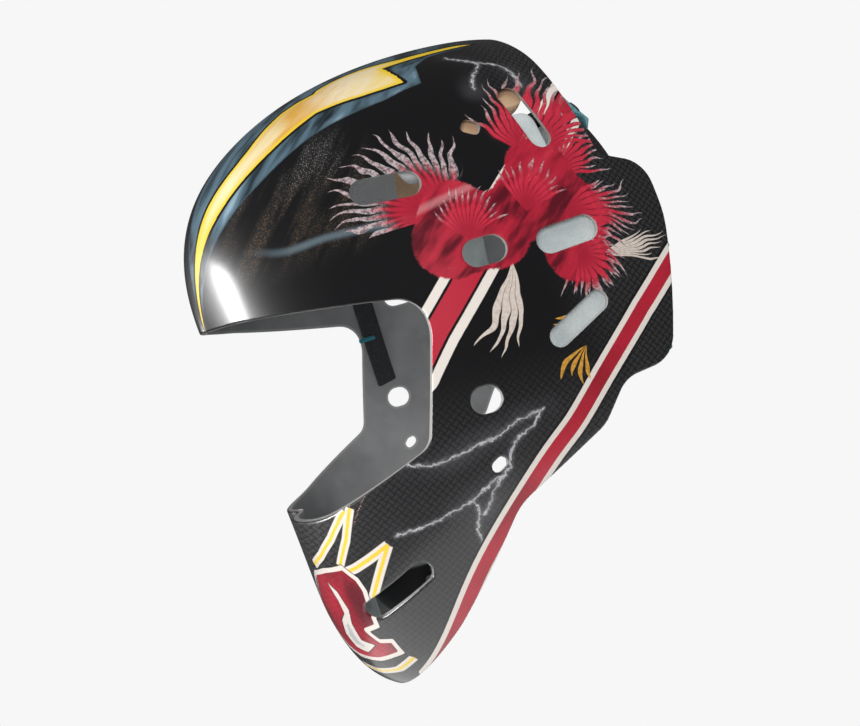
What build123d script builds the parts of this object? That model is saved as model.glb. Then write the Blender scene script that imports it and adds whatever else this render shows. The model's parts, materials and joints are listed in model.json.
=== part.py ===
"""Goalie mask: a moulded composite shell with its liner pads, chin cup and sprung back plate.

Millimetres. The origin is the centre of the wearer's head, between the ears. +Z is up through the
crown, -Y is where the face looks, and +X is the wearer's left. The shell is a body of rings: each
ring lies in a plane that holds the X axis direction, and joins a point of the top line (over the
crown) to a point of the bottom line (under the chin). Every liner piece takes its curve from the
same rings, taken in by its own depth below the outside face.
"""
from build123d import *
import math
import os

# ---------------------------------------------------------------- driving sizes
BROW_REACH = 128.0        # brow ahead of the head's centre
CROWN_RISE = 129.0        # crown above the head's centre
CHIN_DROP = 161.0         # lowest ring point below the head's centre
HALF_WIDTH = 101.0        # widest half of the shell
SHELL_WALL = 3.0
GLUE_GAP = 0.3            # between the shell's inside face and what is stuck to it
PAD_FOAM = 9.0            # liner pads
BROW_FOAM = 8.0           # forehead pad
BAND_FOAM = 3.0           # sweatband
TAPE_THICK = 1.2          # hook tape
TAB_THICK = 0.8           # pull tab on the tape

CUP_HALF_WIDTH = 36.0     # chin cup: half sizes of the bowl it is cut from
CUP_HALF_LENGTH = 29.0
CUP_DEEP = 33.0
CUP_WALL = 2.6
CUP_FOAM = 4.0
CUP_AT = (-60.0, -100.0)  # y, z of the middle of its rim
CUP_SLOT_LENGTH = 18.0    # drain slots through the cup
CUP_SLOT_WIDTH = 5.0
CUP_SLOT_SPACING = 12.0
CHIN_SNAP_AT = (-58.0, -87.0)
CHIN_SNAP_ROOM = 12.0     # shell's inside face to the middle of the strap at its snap
CHIN_STRAP_WIDTH = 16.0
CHIN_STRAP_STEPS = 8
CUP_STRAP_LAP = 13.0      # strap's end below the cup's rim
CUP_RIVET_SHARE = 0.12    # where the cup's rivet sits along the strap

PLATE_WALL = 2.5
PLATE_ROUND = 76.0        # radius of the back plate seen from above
PLATE_UPRIGHT = 110.0     # radius of its upright bend
PLATE_REAR = 90.0         # its rearmost face behind the head's centre
PLATE_MIDDLE = 22.0       # its rearmost face above the head's centre
PLATE_TOP = 90.0
PLATE_BOTTOM = -44.0
PLATE_HALF = 61.0         # half its width
PLATE_CORNER = 14.0
PLATE_FOAM = 9.0
PLATE_PAD_INSET = 8.0
PLATE_SLOT_LENGTH = 34.0
PLATE_SLOT_WIDTH = 7.0
PLATE_SLOT_SPACING = 30.0
# Right half of its outline from behind: x of PLATE_HALF, z of PLATE_TOP or PLATE_BOTTOM
PLATE_CORNERS = [(0.72, -1.0), (1.0, 0.1), (0.92, 0.7), (0.55, 1.0)]

STRAP_WIDTH = 20.0
STRAP_THICK = 1.6
STRAP_GAP = 1.1           # strap to the curved face it lies on
STRAP_STEPS = 8
STRAP_TAIL = 8.0          # straight stretch each side of the middle of a snap
STRAP_SWING = 0.42        # a strap's control points, share of the way between its ends
SNAP_RADIUS = 6.0
SNAP_HEIGHT = 2.2
RIVET_RADIUS = 3.4
RIVET_HEIGHT = 1.4
BEND_GAP = 0.8            # rivet to the bent strap under it
STUD_RADIUS = 2.4
STUD_CLEARANCE = 0.15     # all round a chin snap stud in its socket
TURN_GAP = 0.3            # between a turning socket and its post
TAB_GAP = 0.1             # pull tab to the tape it is sewn on

FAR = 400.0               # longer than any cut needs

# Top line and bottom line, ring by ring, as shares: y of BROW_REACH, z of CROWN_RISE or CHIN_DROP
TOP_LINE = [(-0.988, 0.109), (-1.0, 0.24), (-0.996, 0.388), (-0.957, 0.543), (-0.863, 0.694),
            (-0.699, 0.826), (-0.469, 0.93), (-0.195, 0.988), (0.078, 1.0), (0.328, 0.969),
            (0.531, 0.868), (0.688, 0.698), (0.813, 0.481), (0.875, 0.31)]
BOTTOM_LINE = [(-0.855, -0.311), (-0.855, -0.391), (-0.863, -0.478), (-0.871, -0.571),
               (-0.867, -0.665), (-0.848, -0.758), (-0.813, -0.845), (-0.762, -0.916),
               (-0.688, -0.969), (-0.563, -1.0), (-0.344, -0.975), (0.0, -0.894),
               (0.391, -0.758), (0.75, -0.609)]
SIDE_SHARE = [0.40, 0.40, 0.40, 0.42, 0.42, 0.43, 0.44, 0.45, 0.46, 0.46, 0.46, 0.46, 0.46, 0.46]
WIDEST_BEHIND = 0.0625    # the widest point behind the head's centre, share of BROW_REACH
FRONT_ROUND = 2.15        # exponent of the plan's front half
REAR_ROUND = 2.0
CROWN_ROUND = 0.93        # exponent of a ring above its widest point
JAW_ROUND = 1.12          # exponent of a ring below it
REAR_STRETCH = 1.29       # how far behind the widest point the plan would close
FRONT_PINCH = 6.0         # the plan closes this far behind the brow
LEAST_WIDTH = 0.0004      # keeps a ring open where the plan has closed


def spot(y_share, z_share):
    """A side-view place as millimetres, from shares of the driving sizes."""
    return y_share * BROW_REACH, z_share * (CROWN_RISE if z_share >= 0 else CHIN_DROP)


def natural_spline(points):
    """Returns f(s), the natural cubic spline through points at s = 0, 1, 2 ..."""
    count = len(points)
    dims = len(points[0])
    bend = [[0.0] * dims for _ in range(count)]
    for d in range(dims):
        upper, right = [0.0] * count, [0.0] * count
        for i in range(1, count - 1):
            jump = 6 * (points[i + 1][d] - 2 * points[i][d] + points[i - 1][d])
            pivot = 4 - upper[i - 1]
            upper[i] = 1 / pivot
            right[i] = (jump - right[i - 1]) / pivot
        for i in range(count - 2, 0, -1):
            bend[i][d] = right[i] - upper[i] * bend[i + 1][d]

    def at(s):
        k = min(max(int(s), 0), count - 2)
        f = s - k
        g = 1 - f
        return tuple(g * points[k][d] + f * points[k + 1][d] + (g ** 3 - g) * bend[k][d] / 6
                     + (f ** 3 - f) * bend[k + 1][d] / 6 for d in range(dims))
    return at


TOP_AT = natural_spline([spot(*p) for p in TOP_LINE])
BOTTOM_AT = natural_spline([spot(*p) for p in BOTTOM_LINE])
SIDE_AT = natural_spline([(s,) for s in SIDE_SHARE])
LAST_RING = len(TOP_LINE) - 1


def inward(line, s, depth, turn):
    """The point of a mid-plane line at s, moved depth towards the inside of the mask."""
    y, z = line(s)
    if not depth:
        return y, z
    step = 0.02
    a, b = line(max(s - step, 0)), line(min(s + step, LAST_RING))
    dy, dz = b[0] - a[0], b[1] - a[1]
    length = math.hypot(dy, dz)
    return y + turn * depth * dz / length, z - turn * depth * dy / length


def ring(s, depth=0.0):
    """(top point, side point, bottom point, half width) of the ring at s, depth below the face."""
    top = inward(TOP_AT, s, depth, 1)
    bottom = inward(BOTTOM_AT, s, depth, -1)
    share = SIDE_AT(s)[0]
    side = tuple(t + share * (b - t) for t, b in zip(top, bottom))
    middle = WIDEST_BEHIND * BROW_REACH
    off = side[0] - middle
    reach = BROW_REACH * (1 + WIDEST_BEHIND) - depth - FRONT_PINCH
    round_by = FRONT_ROUND
    if off > 0:
        reach, round_by = reach * REAR_STRETCH, REAR_ROUND
    left = max(1 - (abs(off) / reach) ** round_by, LEAST_WIDTH)
    return top, side, bottom, (HALF_WIDTH - depth) * left ** (1 / round_by)


def ring_point(s, turn, depth=0.0):
    """A point of the ring at s. turn is 0 at the top line and pi at the bottom line."""
    top, side, bottom, half = ring(s, depth)
    goal, power = (top, CROWN_ROUND) if math.cos(turn) >= 0 else (bottom, JAW_ROUND)
    lean = abs(math.cos(turn))
    y, z = (m + lean * (g - m) for m, g in zip(side, goal))
    return Vector(half * math.copysign(abs(math.sin(turn)) ** power, math.sin(turn)), y, z)


def half_width(y, z, depth=0.0):
    """How far the face, taken in by depth, stands from the mid plane at a side-view place."""
    def over(s):
        top, _, bottom, _ = ring(s, depth)
        return (bottom[0] - top[0]) * (z - top[1]) - (bottom[1] - top[1]) * (y - top[0])
    low, high = 0.0, float(LAST_RING)
    rising = over(high) > over(low)
    for _ in range(40):
        middle = (low + high) / 2
        if (over(middle) > 0) == rising:
            high = middle
        else:
            low = middle
    top, side, bottom, half = ring(low, depth)
    goal, power = (top, CROWN_ROUND) if z >= side[1] else (bottom, JAW_ROUND)
    reach = math.hypot(goal[0] - side[0], goal[1] - side[1])
    lean = min(math.hypot(y - side[0], z - side[1]) / reach, 1.0)
    return half * math.sqrt(1 - lean * lean) ** power


def wall_normal(y, z, depth=0.0):
    """The outward direction of the wearer's left wall at a side-view place."""
    step = 1.0
    rise_y = (half_width(y + step, z, depth) - half_width(y - step, z, depth)) / (2 * step)
    rise_z = (half_width(y, z + step, depth) - half_width(y, z - step, depth)) / (2 * step)
    return Vector(1, -rise_y, -rise_z).normalized()


RING_STEPS = 26           # loft sections
RING_POINTS = 20          # points round each section


def body(depth):
    """The solid inside the face taken in by depth."""
    sections = []
    for i in range(RING_STEPS + 1):
        s = LAST_RING * i / RING_STEPS
        points = [ring_point(s, 2 * math.pi * k / RING_POINTS, depth) for k in range(RING_POINTS)]
        sections.append(Wire([Edge.make_spline(points, periodic=True)]))
    return Solid.make_loft(sections)


def side_prism(outline, x_from, x_to):
    """A side-view face, drawn with y to the right and z up, as a bar from x_from to x_to."""
    face = Plane.YZ.offset(x_from) * outline
    return extrude(face, amount=x_to - x_from, dir=(1, 0, 0))


def filleted(corners):
    """A closed face through (y share, z share, radius) corners."""
    places = [spot(y, z) for y, z, _ in corners]
    line = FilletPolyline(*places, radius=[r for _, _, r in corners], close=True)
    return make_face(line)


def slot_face(y_share, z_share, length, width, tilt):
    """A round-ended slot centred on a side-view place, turned tilt degrees from the y axis."""
    return Pos(*spot(y_share, z_share)) * Rot(0, 0, tilt) * SlotOverall(length, width)


def mirrored(shape):
    """The wearer's right-hand copy of a left-hand piece."""
    return mirror(shape, about=Plane.YZ)


# ---------------------------------------------------------------- outlines in the side view
# Corners as (y share, z share, corner radius); y of BROW_REACH, z of CROWN_RISE or CHIN_DROP

# Back and lower rim: everything behind and under this line is cut away
RIM = [(0.281, 1.047, 0), (0.348, 0.806, 60), (0.378, 0.384, 5), (0.533, 0.322, 13),
       (0.523, 0.14, 60), (0.397, -0.25, 13), (0.215, -0.26, 13), (0.116, -0.357, 14),
       (-0.215, -0.484, 24), (-0.477, -0.773, 60), (-0.703, -0.981, 0)]
# Eye port, from in front of the brow round its rear edge to in front of the chin
PORT = [(-1.2, 0.24, 0), (-0.875, 0.208, 60), (-0.338, 0.108, 12), (-0.338, 0.0, 18),
        (-0.441, -0.273, 9), (-0.813, -0.398, 40), (-1.2, -0.404, 0)]
# Slots and vents: y share, z share, length, width, tilt in degrees
VENTS = {"front_vent": (-0.323, 0.467, 28.5, 11.3, -7.0),
         "middle_vent": (-0.107, 0.184, 18.2, 11.4, -1.0),
         "top_slot": (0.192, 0.571, 31.0, 9.5, -80.0),
         "rear_slot": (0.163, 0.162, 27.3, 10.9, 3.0),
         "low_slot": (0.113, -0.08, 30.3, 8.9, 25.0),
         "ear_hole": (-0.241, -0.203, 13.0, 10.9, -3.0),
         "cage_hole": (-0.252, -0.368, 7.3, 5.2, 29.0),
         "jaw_slot": (-0.641, -0.624, 32.8, 9.7, 32.0)}
TOP_HOLE = (0.005, 0.583, 7.7, 6.3, -33.0)
TOP_HOLE_CORNER = 2.2

# Liner pieces
FOREHEAD = [(-1.1, 0.30, 6), (-0.56, 0.30, 10), (-0.50, 0.66, 10), (-0.86, 0.93, 6)]
BAND = [(-1.1, 0.325, 3), (-0.60, 0.325, 6), (-0.60, 0.45, 6), (-1.1, 0.45, 3)]
CROWN = [(-0.266, 0.465, 6), (0.07, 0.535, 6), (0.125, 0.62, 5), (0.235, 0.62, 6),
         (0.235, 1.2, 6), (-0.266, 1.2, 6)]
SIDE = [(0.023, -0.20, 8), (0.023, 0.48, 8), (0.10, 0.496, 4), (0.14, 0.589, 5),
        (0.225, 0.589, 5), (0.225, 0.403, 8), (0.34, 0.34, 8), (0.34, 0.05, 10),
        (0.205, -0.186, 8)]
JAW = [(-0.516, -0.658, 4), (-0.437, -0.658, 4), (-0.484, -0.73, 6), (-0.535, -0.795, 6),
       (-0.586, -0.826, 4), (-0.609, -0.758, 4)]
CHIN = [(-0.94, -0.745, 6), (-0.672, -0.745, 6), (-0.672, -0.888, 6), (-0.94, -0.994, 6)]
TAPE = [(-0.332, 0.388, 1), (-0.242, 0.388, 1), (-0.227, -0.137, 1), (-0.316, -0.149, 1)]
TAB_AT = (-0.307, 0.033)
TAB_SIZE = (10.0, 2.4)


def open_cut(corners, close_with):
    """The face between a filleted line and the far points that close it."""
    places = [spot(y, z) for y, z, _ in corners]
    line = FilletPolyline(*places, radius=[r for _, _, r in corners[1:-1]])
    back = Polyline(places[-1], *close_with, places[0])
    return make_face(line + back)


def rim_cut():
    """All that lies behind and under the shell's back rim, in the side view."""
    return open_cut(RIM, [(-FAR, -FAR), (FAR, -FAR), (FAR, FAR), (RIM[0][0] * BROW_REACH, FAR)])


def port_cut():
    """The eye port in the side view, open towards the front."""
    return open_cut(PORT, [(-FAR, PORT[-1][1] * CHIN_DROP), (-FAR, PORT[0][1] * CROWN_RISE)])


def hole_cuts():
    """Every vent, slot and hole in one side of the shell, in the side view."""
    faces = [slot_face(*size) for size in VENTS.values()]
    y, z, length, width, tilt = TOP_HOLE
    faces.append(Pos(*spot(y, z)) * Rot(0, 0, tilt)
                 * RectangleRounded(length, width, TOP_HOLE_CORNER))
    return faces


# ---------------------------------------------------------------- the shell
def make_shell():
    """The left half of the rings' solid inside the side-view outline, hollowed, then doubled."""
    outline = Rectangle(2 * FAR, 2 * FAR) - rim_cut() - port_cut()
    for face in hole_cuts():
        outline -= face
    half = (body(0) & side_prism(outline.face(), 0, FAR)) - body(SHELL_WALL)
    half = max(half.solids(), key=lambda s: s.volume)
    return (half + mirrored(half)).solid()


INSIDE = SHELL_WALL + GLUE_GAP


def lining(corners, foam, depth=INSIDE, left_only=True):
    """A pad of that side-view outline, foam thick, starting depth below the outside face."""
    bar = side_prism(filleted(corners), 0 if left_only else -FAR, FAR)
    pad = (body(depth) & bar) - body(depth + foam)
    return max(pad.solids(), key=lambda s: s.volume)


def make_liner():
    """Pads and tape stuck to the inside of the shell, by node name."""
    pieces = {"forehead_pad": lining(FOREHEAD, BROW_FOAM, left_only=False),
              "sweatband": lining(BAND, BAND_FOAM, INSIDE + BROW_FOAM + GLUE_GAP, False),
              "crown_pad": lining(CROWN, PAD_FOAM, left_only=False),
              "chin_pad": lining(CHIN, PAD_FOAM, left_only=False)}
    for name, corners, foam in [("side_pad", SIDE, PAD_FOAM), ("jaw_pad", JAW, PAD_FOAM),
                                ("hook_tape", TAPE, TAPE_THICK)]:
        left = lining(corners, foam)
        pieces[name + "_left"] = left
        pieces[name + "_right"] = mirrored(left)
    pieces["tape_pull_tab"] = mirrored(make_tab())
    return pieces


def make_tab():
    """The short pull tab that lies across the hook tape."""
    face = Pos(*spot(*TAB_AT)) * Rectangle(*TAB_SIZE)
    start = INSIDE + TAPE_THICK + TAB_GAP
    tab = (body(start) & side_prism(face, 0, FAR)) - body(start + TAB_THICK)
    return max(tab.solids(), key=lambda s: s.volume)


# ---------------------------------------------------------------- chin cup
def bowl(shrink):
    """The half ellipsoid under the cup's rim, smaller by shrink all round."""
    size = (CUP_HALF_WIDTH - shrink, CUP_HALF_LENGTH - shrink, CUP_DEEP - shrink)
    lower = Sphere(1) & Pos(0, 0, -1) * Box(3, 3, 2)
    return Pos(0, *CUP_AT) * scale(lower, by=size)


def make_chin_cup():
    """A moulded bowl for the chin with three drain slots, and the foam bowl inside it."""
    cup = bowl(0) - bowl(CUP_WALL)
    slots = [Pos(x, CUP_AT[0], 0) * Rot(0, 0, 90) * SlotOverall(CUP_SLOT_LENGTH, CUP_SLOT_WIDTH)
             for x in (-CUP_SLOT_SPACING, 0, CUP_SLOT_SPACING)]
    for slot in slots:
        cup -= Pos(0, 0, -FAR) * extrude(slot, amount=FAR + CUP_AT[1] - CUP_DEEP / 2)
    start = CUP_WALL + GLUE_GAP
    foam = bowl(start) - bowl(start + CUP_FOAM)
    foam -= Pos(0, 0, CUP_AT[1]) * Box(FAR, FAR, 2 * CUP_FOAM)
    return cup.solid(), foam.solid()


def snap_plane_x():
    """How far from the mid plane the middle of a chin strap hangs at its snap."""
    return half_width(*CHIN_SNAP_AT, INSIDE) - CHIN_SNAP_ROOM


def chin_axis_disc(radius, x_from, x_to):
    """A disc on the left chin snap's axis."""
    y, z = CHIN_SNAP_AT
    return Pos((x_from + x_to) / 2, y, z) * Rot(0, 90, 0) * Cylinder(radius, abs(x_to - x_from))


def make_chin_snap():
    """(post on the shell, socket and cap on the strap) of the left chin snap, along X."""
    face = snap_plane_x() + STRAP_THICK / 2
    seat = face + SNAP_HEIGHT
    post = chin_axis_disc(SNAP_RADIUS, seat + TURN_GAP, HALF_WIDTH) & body(INSIDE)
    post += chin_axis_disc(STUD_RADIUS, face + TURN_GAP, seat + TURN_GAP)
    socket = chin_axis_disc(SNAP_RADIUS, face, seat)
    socket -= chin_axis_disc(STUD_RADIUS + STUD_CLEARANCE, face - 1, seat + 1)
    cap = chin_axis_disc(SNAP_RADIUS, face - STRAP_THICK - SNAP_HEIGHT, face - STRAP_THICK)
    cap = chamfer(cap.faces().sort_by(Axis.X)[0].edges(), SNAP_HEIGHT / 3)
    return post.solid(), socket.solid(), cap.solid()


def cup_side(drop):
    """Half the cup's width, drop below its rim."""
    return CUP_HALF_WIDTH * math.sqrt(1 - (drop / CUP_DEEP) ** 2)


def chin_strap_line():
    """The left chin strap's middle line from the front, x then z."""
    y, z = CHIN_SNAP_AT
    low = CUP_AT[1] - CUP_STRAP_LAP
    x_low = cup_side(CUP_STRAP_LAP) + STRAP_GAP + STRAP_THICK / 2
    x_snap = snap_plane_x()
    end = z - SNAP_RADIUS
    return bezier([(x_low, low), (x_low + 5, low + 16), (x_snap, end - 13), (x_snap, end)])


def bezier(controls):
    """Returns f(t) for t in 0..1, the cubic with those four control points."""
    def at(t):
        shares = [(1 - t) ** 3, 3 * t * (1 - t) ** 2, 3 * t * t * (1 - t), t ** 3]
        return Vector(*(sum(s * c[d] for s, c in zip(shares, controls))
                        for d in range(len(controls[0]))))
    return at


def make_chin_strap():
    """The left chin strap: a band cut in the XZ plane and given its width along Y."""
    y, z = CHIN_SNAP_AT
    line = chin_strap_line()
    sides = {1: [], -1: []}
    for i in range(CHIN_STRAP_STEPS + 1):
        t = i / CHIN_STRAP_STEPS
        along = (line(min(t + 0.01, 1)) - line(max(t - 0.01, 0))).normalized()
        for turn, points in sides.items():
            points.append(line(t) + Vector(along.Y, -along.X) * (turn * STRAP_THICK / 2))
    x_snap = snap_plane_x()
    tip = z + CHIN_STRAP_WIDTH / 2
    for turn, points in sides.items():
        points.append(Vector(x_snap + turn * STRAP_THICK / 2, tip))
    outer, inner = sides[1], sides[-1]
    face = make_face(Polyline(*outer) + Line(outer[-1], inner[-1])
                     + Polyline(*inner[::-1]) + Line(inner[0], outer[0]))
    middle = (CUP_AT[0] + y) / 2
    plane = Plane(origin=(0, middle, 0), x_dir=(1, 0, 0), z_dir=(0, -1, 0))
    return extrude(plane * face, amount=CHIN_STRAP_WIDTH / 2, both=True).solid()


def make_cup_rivet():
    """The left rivet that holds the chin strap to the cup: its head on the strap's outside."""
    line = chin_strap_line()
    share = CUP_RIVET_SHARE
    along = (line(share + 0.01) - line(share - 0.01)).normalized()
    outward = Vector(along.Y, -along.X)
    place = line(share) + outward * (STRAP_THICK / 2 + BEND_GAP)
    middle = (CUP_AT[0] + CHIN_SNAP_AT[0]) / 2
    return disc_on((place.X, middle, place.Y), (outward.X, 0, outward.Y), RIVET_RADIUS, RIVET_HEIGHT)


# ---------------------------------------------------------------- back plate
def plate_layer(outer, inner):
    """The back plate's form between two depths in front of its rear face."""
    axis_y = PLATE_REAR - PLATE_ROUND
    reach = PLATE_UPRIGHT
    core = PLATE_ROUND - PLATE_UPRIGHT
    section = Pos(core, PLATE_MIDDLE) * (Circle(reach - outer) - Circle(reach - inner))
    section &= Pos(FAR / 2, 0) * Rectangle(FAR, 4 * CROWN_RISE)
    turned = revolve(Plane.XZ * section, Axis.Z)
    return Pos(0, axis_y, 0) * turned


def plate_outline(inset):
    """The plate's outline from behind, narrower towards the neck, smaller by inset all round."""
    top, low, half = PLATE_TOP - inset, PLATE_BOTTOM + inset, PLATE_HALF - inset
    right = [(x * half, z * top if z >= 0 else -z * low) for x, z in PLATE_CORNERS]
    corners = right + [(-x, z) for x, z in right[::-1]]
    return make_face(FilletPolyline(*corners, radius=PLATE_CORNER, close=True))


def plate_bar(face):
    """A face drawn from behind, x across and z up, as a bar that runs backwards."""
    return extrude(Plane.XZ * face, amount=-FAR)


def make_back_plate():
    """(plate, pad): a panel bent both ways with three vents, and its foam pad."""
    plate = plate_layer(0, PLATE_WALL) & plate_bar(plate_outline(0))
    for step in (-1, 0, 1):
        slot = Pos(0, PLATE_MIDDLE + step * PLATE_SLOT_SPACING)
        plate -= plate_bar(slot * SlotOverall(PLATE_SLOT_LENGTH, PLATE_SLOT_WIDTH))
    start = PLATE_WALL + GLUE_GAP
    pad = plate_layer(start, start + PLATE_FOAM) & plate_bar(plate_outline(PLATE_PAD_INSET))
    return plate.solid(), pad.solid()


def plate_face(x, z):
    """(point, outward normal) of the plate's rear face at x, z on the left."""
    rise = z - PLATE_MIDDLE
    around = PLATE_ROUND - PLATE_UPRIGHT + math.sqrt(PLATE_UPRIGHT ** 2 - rise ** 2)
    back = math.sqrt(around ** 2 - x ** 2)
    lean = math.sqrt(PLATE_UPRIGHT ** 2 - rise ** 2) / PLATE_UPRIGHT
    normal = Vector(x / around * lean, back / around * lean, rise / PLATE_UPRIGHT)
    return Vector(x, PLATE_REAR - PLATE_ROUND + back, z), normal


# Elastic straps: anchor on the shell wall as y share, z share; end on the plate as x, z
STRAPS = {"crown_strap": ((0.315, 0.62), (41.0, 76.0)),
          "side_strap": ((0.43, 0.112), (48.0, 14.0)),
          "neck_strap": ((0.345, -0.17), (36.0, -26.0))}


def strap_ends(anchor, end):
    """((middle, inward normal, way out), (middle, outward normal, way out)) of a strap's ends."""
    y, z = spot(*anchor)
    outward = wall_normal(y, z, SHELL_WALL)
    lift = STRAP_GAP + STRAP_THICK / 2
    wall = Vector(half_width(y, z, SHELL_WALL), y, z) - outward * lift
    back = Vector(0, 1, 0)
    along = (back - outward * back.dot(outward)).normalized()
    point, normal = plate_face(*end)
    plate = point + normal * lift
    across = Vector(1, 0, 0)
    out = (across - normal * across.dot(normal)).normalized()
    return (wall, -outward, along), (plate, normal, out)


def make_strap(anchor, end):
    """A flat elastic strap from the shell's inside wall to the back of the plate."""
    (wall, inward, along), (plate, normal, out) = strap_ends(anchor, end)
    start, stop = wall + along * STRAP_TAIL, plate + out * STRAP_TAIL
    reach = (stop - start).length * STRAP_SWING
    line = bezier([tuple(p) for p in (start, start + along * reach, stop + out * reach, stop)])
    sections = []
    for i in range(STRAP_STEPS + 1):
        t = i / STRAP_STEPS
        way = (line(min(t + 0.01, 1)) - line(max(t - 0.01, 0))).normalized()
        facing = -inward * (1 - t) + normal * t
        sections.append(strap_section(line(t), way, facing))
    lap, tail = (strap_section(p, along, -inward) for p in (start, wall - along * STRAP_TAIL))
    end_lap = strap_section(stop, -out, normal)
    end_tail = strap_section(plate - out * STRAP_TAIL, -out, normal)
    sections[0], sections[-1] = lap, end_lap
    pieces = [Solid.make_loft([tail, lap], ruled=True), Solid.make_loft(sections),
              Solid.make_loft([end_lap, end_tail], ruled=True)]
    return Part() + pieces


def strap_section(middle, way, facing):
    """A strap's cut end at middle: its width lies square to way and to facing."""
    square = (facing - way * facing.dot(way)).normalized()
    plane = Plane(origin=middle, x_dir=square, z_dir=way)
    return (plane * Rectangle(STRAP_THICK, STRAP_WIDTH)).face().outer_wire()


def disc_on(point, normal, radius, height):
    """A disc standing on a point along a direction, its far edge bevelled."""
    plane = Plane(origin=point, z_dir=normal)
    disc = Cylinder(radius, height, align=(Align.CENTER, Align.CENTER, Align.MIN))
    disc = chamfer(disc.faces().sort_by(Axis.Z)[-1].edges(), height / 3)
    return (plane * disc).solid()


def make_strap_caps():
    """(snap caps on the shell's inside, rivets on the plate) of the left straps."""
    caps, rivets = [], []
    lift = STRAP_THICK / 2 + GLUE_GAP
    for anchor, end in STRAPS.values():
        (wall, inward, _), (plate, normal, _) = strap_ends(anchor, end)
        caps.append(disc_on(wall + inward * lift, inward, SNAP_RADIUS, SNAP_HEIGHT))
        rivets.append(disc_on(plate + normal * lift, normal, RIVET_RADIUS, RIVET_HEIGHT))
    return caps, rivets


# ---------------------------------------------------------------- everything
def both_sides(solids):
    """The solids and their right-hand copies as one group."""
    return Compound(children=[*solids, *(mirrored(s) for s in solids)])


def build():
    """Every node of the mask by name."""
    nodes = {"shell": make_shell(), **make_liner()}
    nodes["chin_cup"], nodes["chin_cup_liner"] = make_chin_cup()
    post, socket, cap = make_chin_snap()
    nodes["chin_snap_posts"] = both_sides([post])
    nodes["chin_snap_sockets"] = both_sides([socket])
    nodes["chin_snap_caps"] = both_sides([cap])
    nodes["chin_cup_rivets"] = both_sides([make_cup_rivet()])
    strap = make_chin_strap()
    nodes["chin_strap_left"] = strap
    nodes["chin_strap_right"] = mirrored(strap)
    nodes["back_plate"], nodes["back_plate_pad"] = make_back_plate()
    caps, rivets = make_strap_caps()
    nodes["harness_snap_caps"] = both_sides(caps)
    nodes["back_plate_rivets"] = both_sides(rivets)
    for name, (anchor, end) in STRAPS.items():
        strap = make_strap(anchor, end)
        nodes[name + "_left"] = strap
        nodes[name + "_right"] = mirrored(strap)
    return nodes


os.makedirs("parts", exist_ok=True)
for node, shape in build().items():
    export_step(shape, f"parts/{node}.step")
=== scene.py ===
"""Goalie mask: every visible skin, pad and strap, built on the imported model's frame.

The shell is a body of rings. Each ring holds the X direction and joins a point of the top line, over
the crown, to a point of the bottom line, under the chin. A place on the shell is a pair: the ring's
number, and the turn round it from the top line. Forms are worked out in millimetres in the mask's
own frame and written to meshes in metres.
"""

import json
import logging
import math
from dataclasses import dataclass, field
from enum import Enum
from typing import Callable, Sequence

import bpy
import numpy as np
from mathutils import Matrix, Vector


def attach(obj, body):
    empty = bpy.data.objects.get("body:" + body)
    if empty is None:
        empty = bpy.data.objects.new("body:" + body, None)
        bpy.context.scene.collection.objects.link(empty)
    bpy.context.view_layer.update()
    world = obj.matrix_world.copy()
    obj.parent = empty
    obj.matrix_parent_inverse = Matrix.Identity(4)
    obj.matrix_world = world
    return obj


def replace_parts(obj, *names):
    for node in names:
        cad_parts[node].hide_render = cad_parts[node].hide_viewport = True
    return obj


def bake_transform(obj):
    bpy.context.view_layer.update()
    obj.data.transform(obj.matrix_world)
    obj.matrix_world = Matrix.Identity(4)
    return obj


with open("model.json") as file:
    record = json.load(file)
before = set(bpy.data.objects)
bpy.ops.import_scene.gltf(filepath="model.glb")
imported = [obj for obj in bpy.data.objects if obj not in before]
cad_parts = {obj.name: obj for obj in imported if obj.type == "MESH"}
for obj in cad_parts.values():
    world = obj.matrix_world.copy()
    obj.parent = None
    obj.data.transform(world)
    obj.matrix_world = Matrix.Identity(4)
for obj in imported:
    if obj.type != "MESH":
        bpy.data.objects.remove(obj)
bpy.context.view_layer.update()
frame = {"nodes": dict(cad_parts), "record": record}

log = logging.getLogger("goalie_mask")
MM = 0.001
Array = np.ndarray


# ---------------------------------------------------------------- curves and distances
class NaturalSpline:
    """A natural cubic spline through points at 0, 1, 2 and so on."""

    def __init__(self, knots: Sequence[Sequence[float]]) -> None:
        """Solves for the second derivative at each knot, which is zero at both ends.

        Args:
            knots: the points, each with any number of coordinates.
        """
        self.knots = np.asarray(knots, float)
        count = len(self.knots)
        matrix = np.eye(count)
        right = np.zeros_like(self.knots)
        inner = np.arange(1, count - 1)
        matrix[inner, inner - 1] = 1
        matrix[inner, inner] = 4
        matrix[inner, inner + 1] = 1
        right[1:-1] = 6 * (self.knots[2:] - 2 * self.knots[1:-1] + self.knots[:-2])
        self.bend = np.linalg.solve(matrix, right)

    def __call__(self, at: Array) -> Array:
        """Points of the spline.

        Args:
            at: parameters, from 0 to the last knot.

        Returns:
            The points, with one more axis than at.
        """
        at = np.asarray(at, float)
        low = np.clip(at.astype(int), 0, len(self.knots) - 2)
        f = (at - low)[..., None]
        g = 1 - f
        return (g * self.knots[low] + f * self.knots[low + 1]
                + (g ** 3 - g) * self.bend[low] / 6 + (f ** 3 - f) * self.bend[low + 1] / 6)

    def sampled(self, count: int) -> Array:
        """count points from the first knot to the last."""
        return self(np.linspace(0, len(self.knots) - 1, count))


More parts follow.
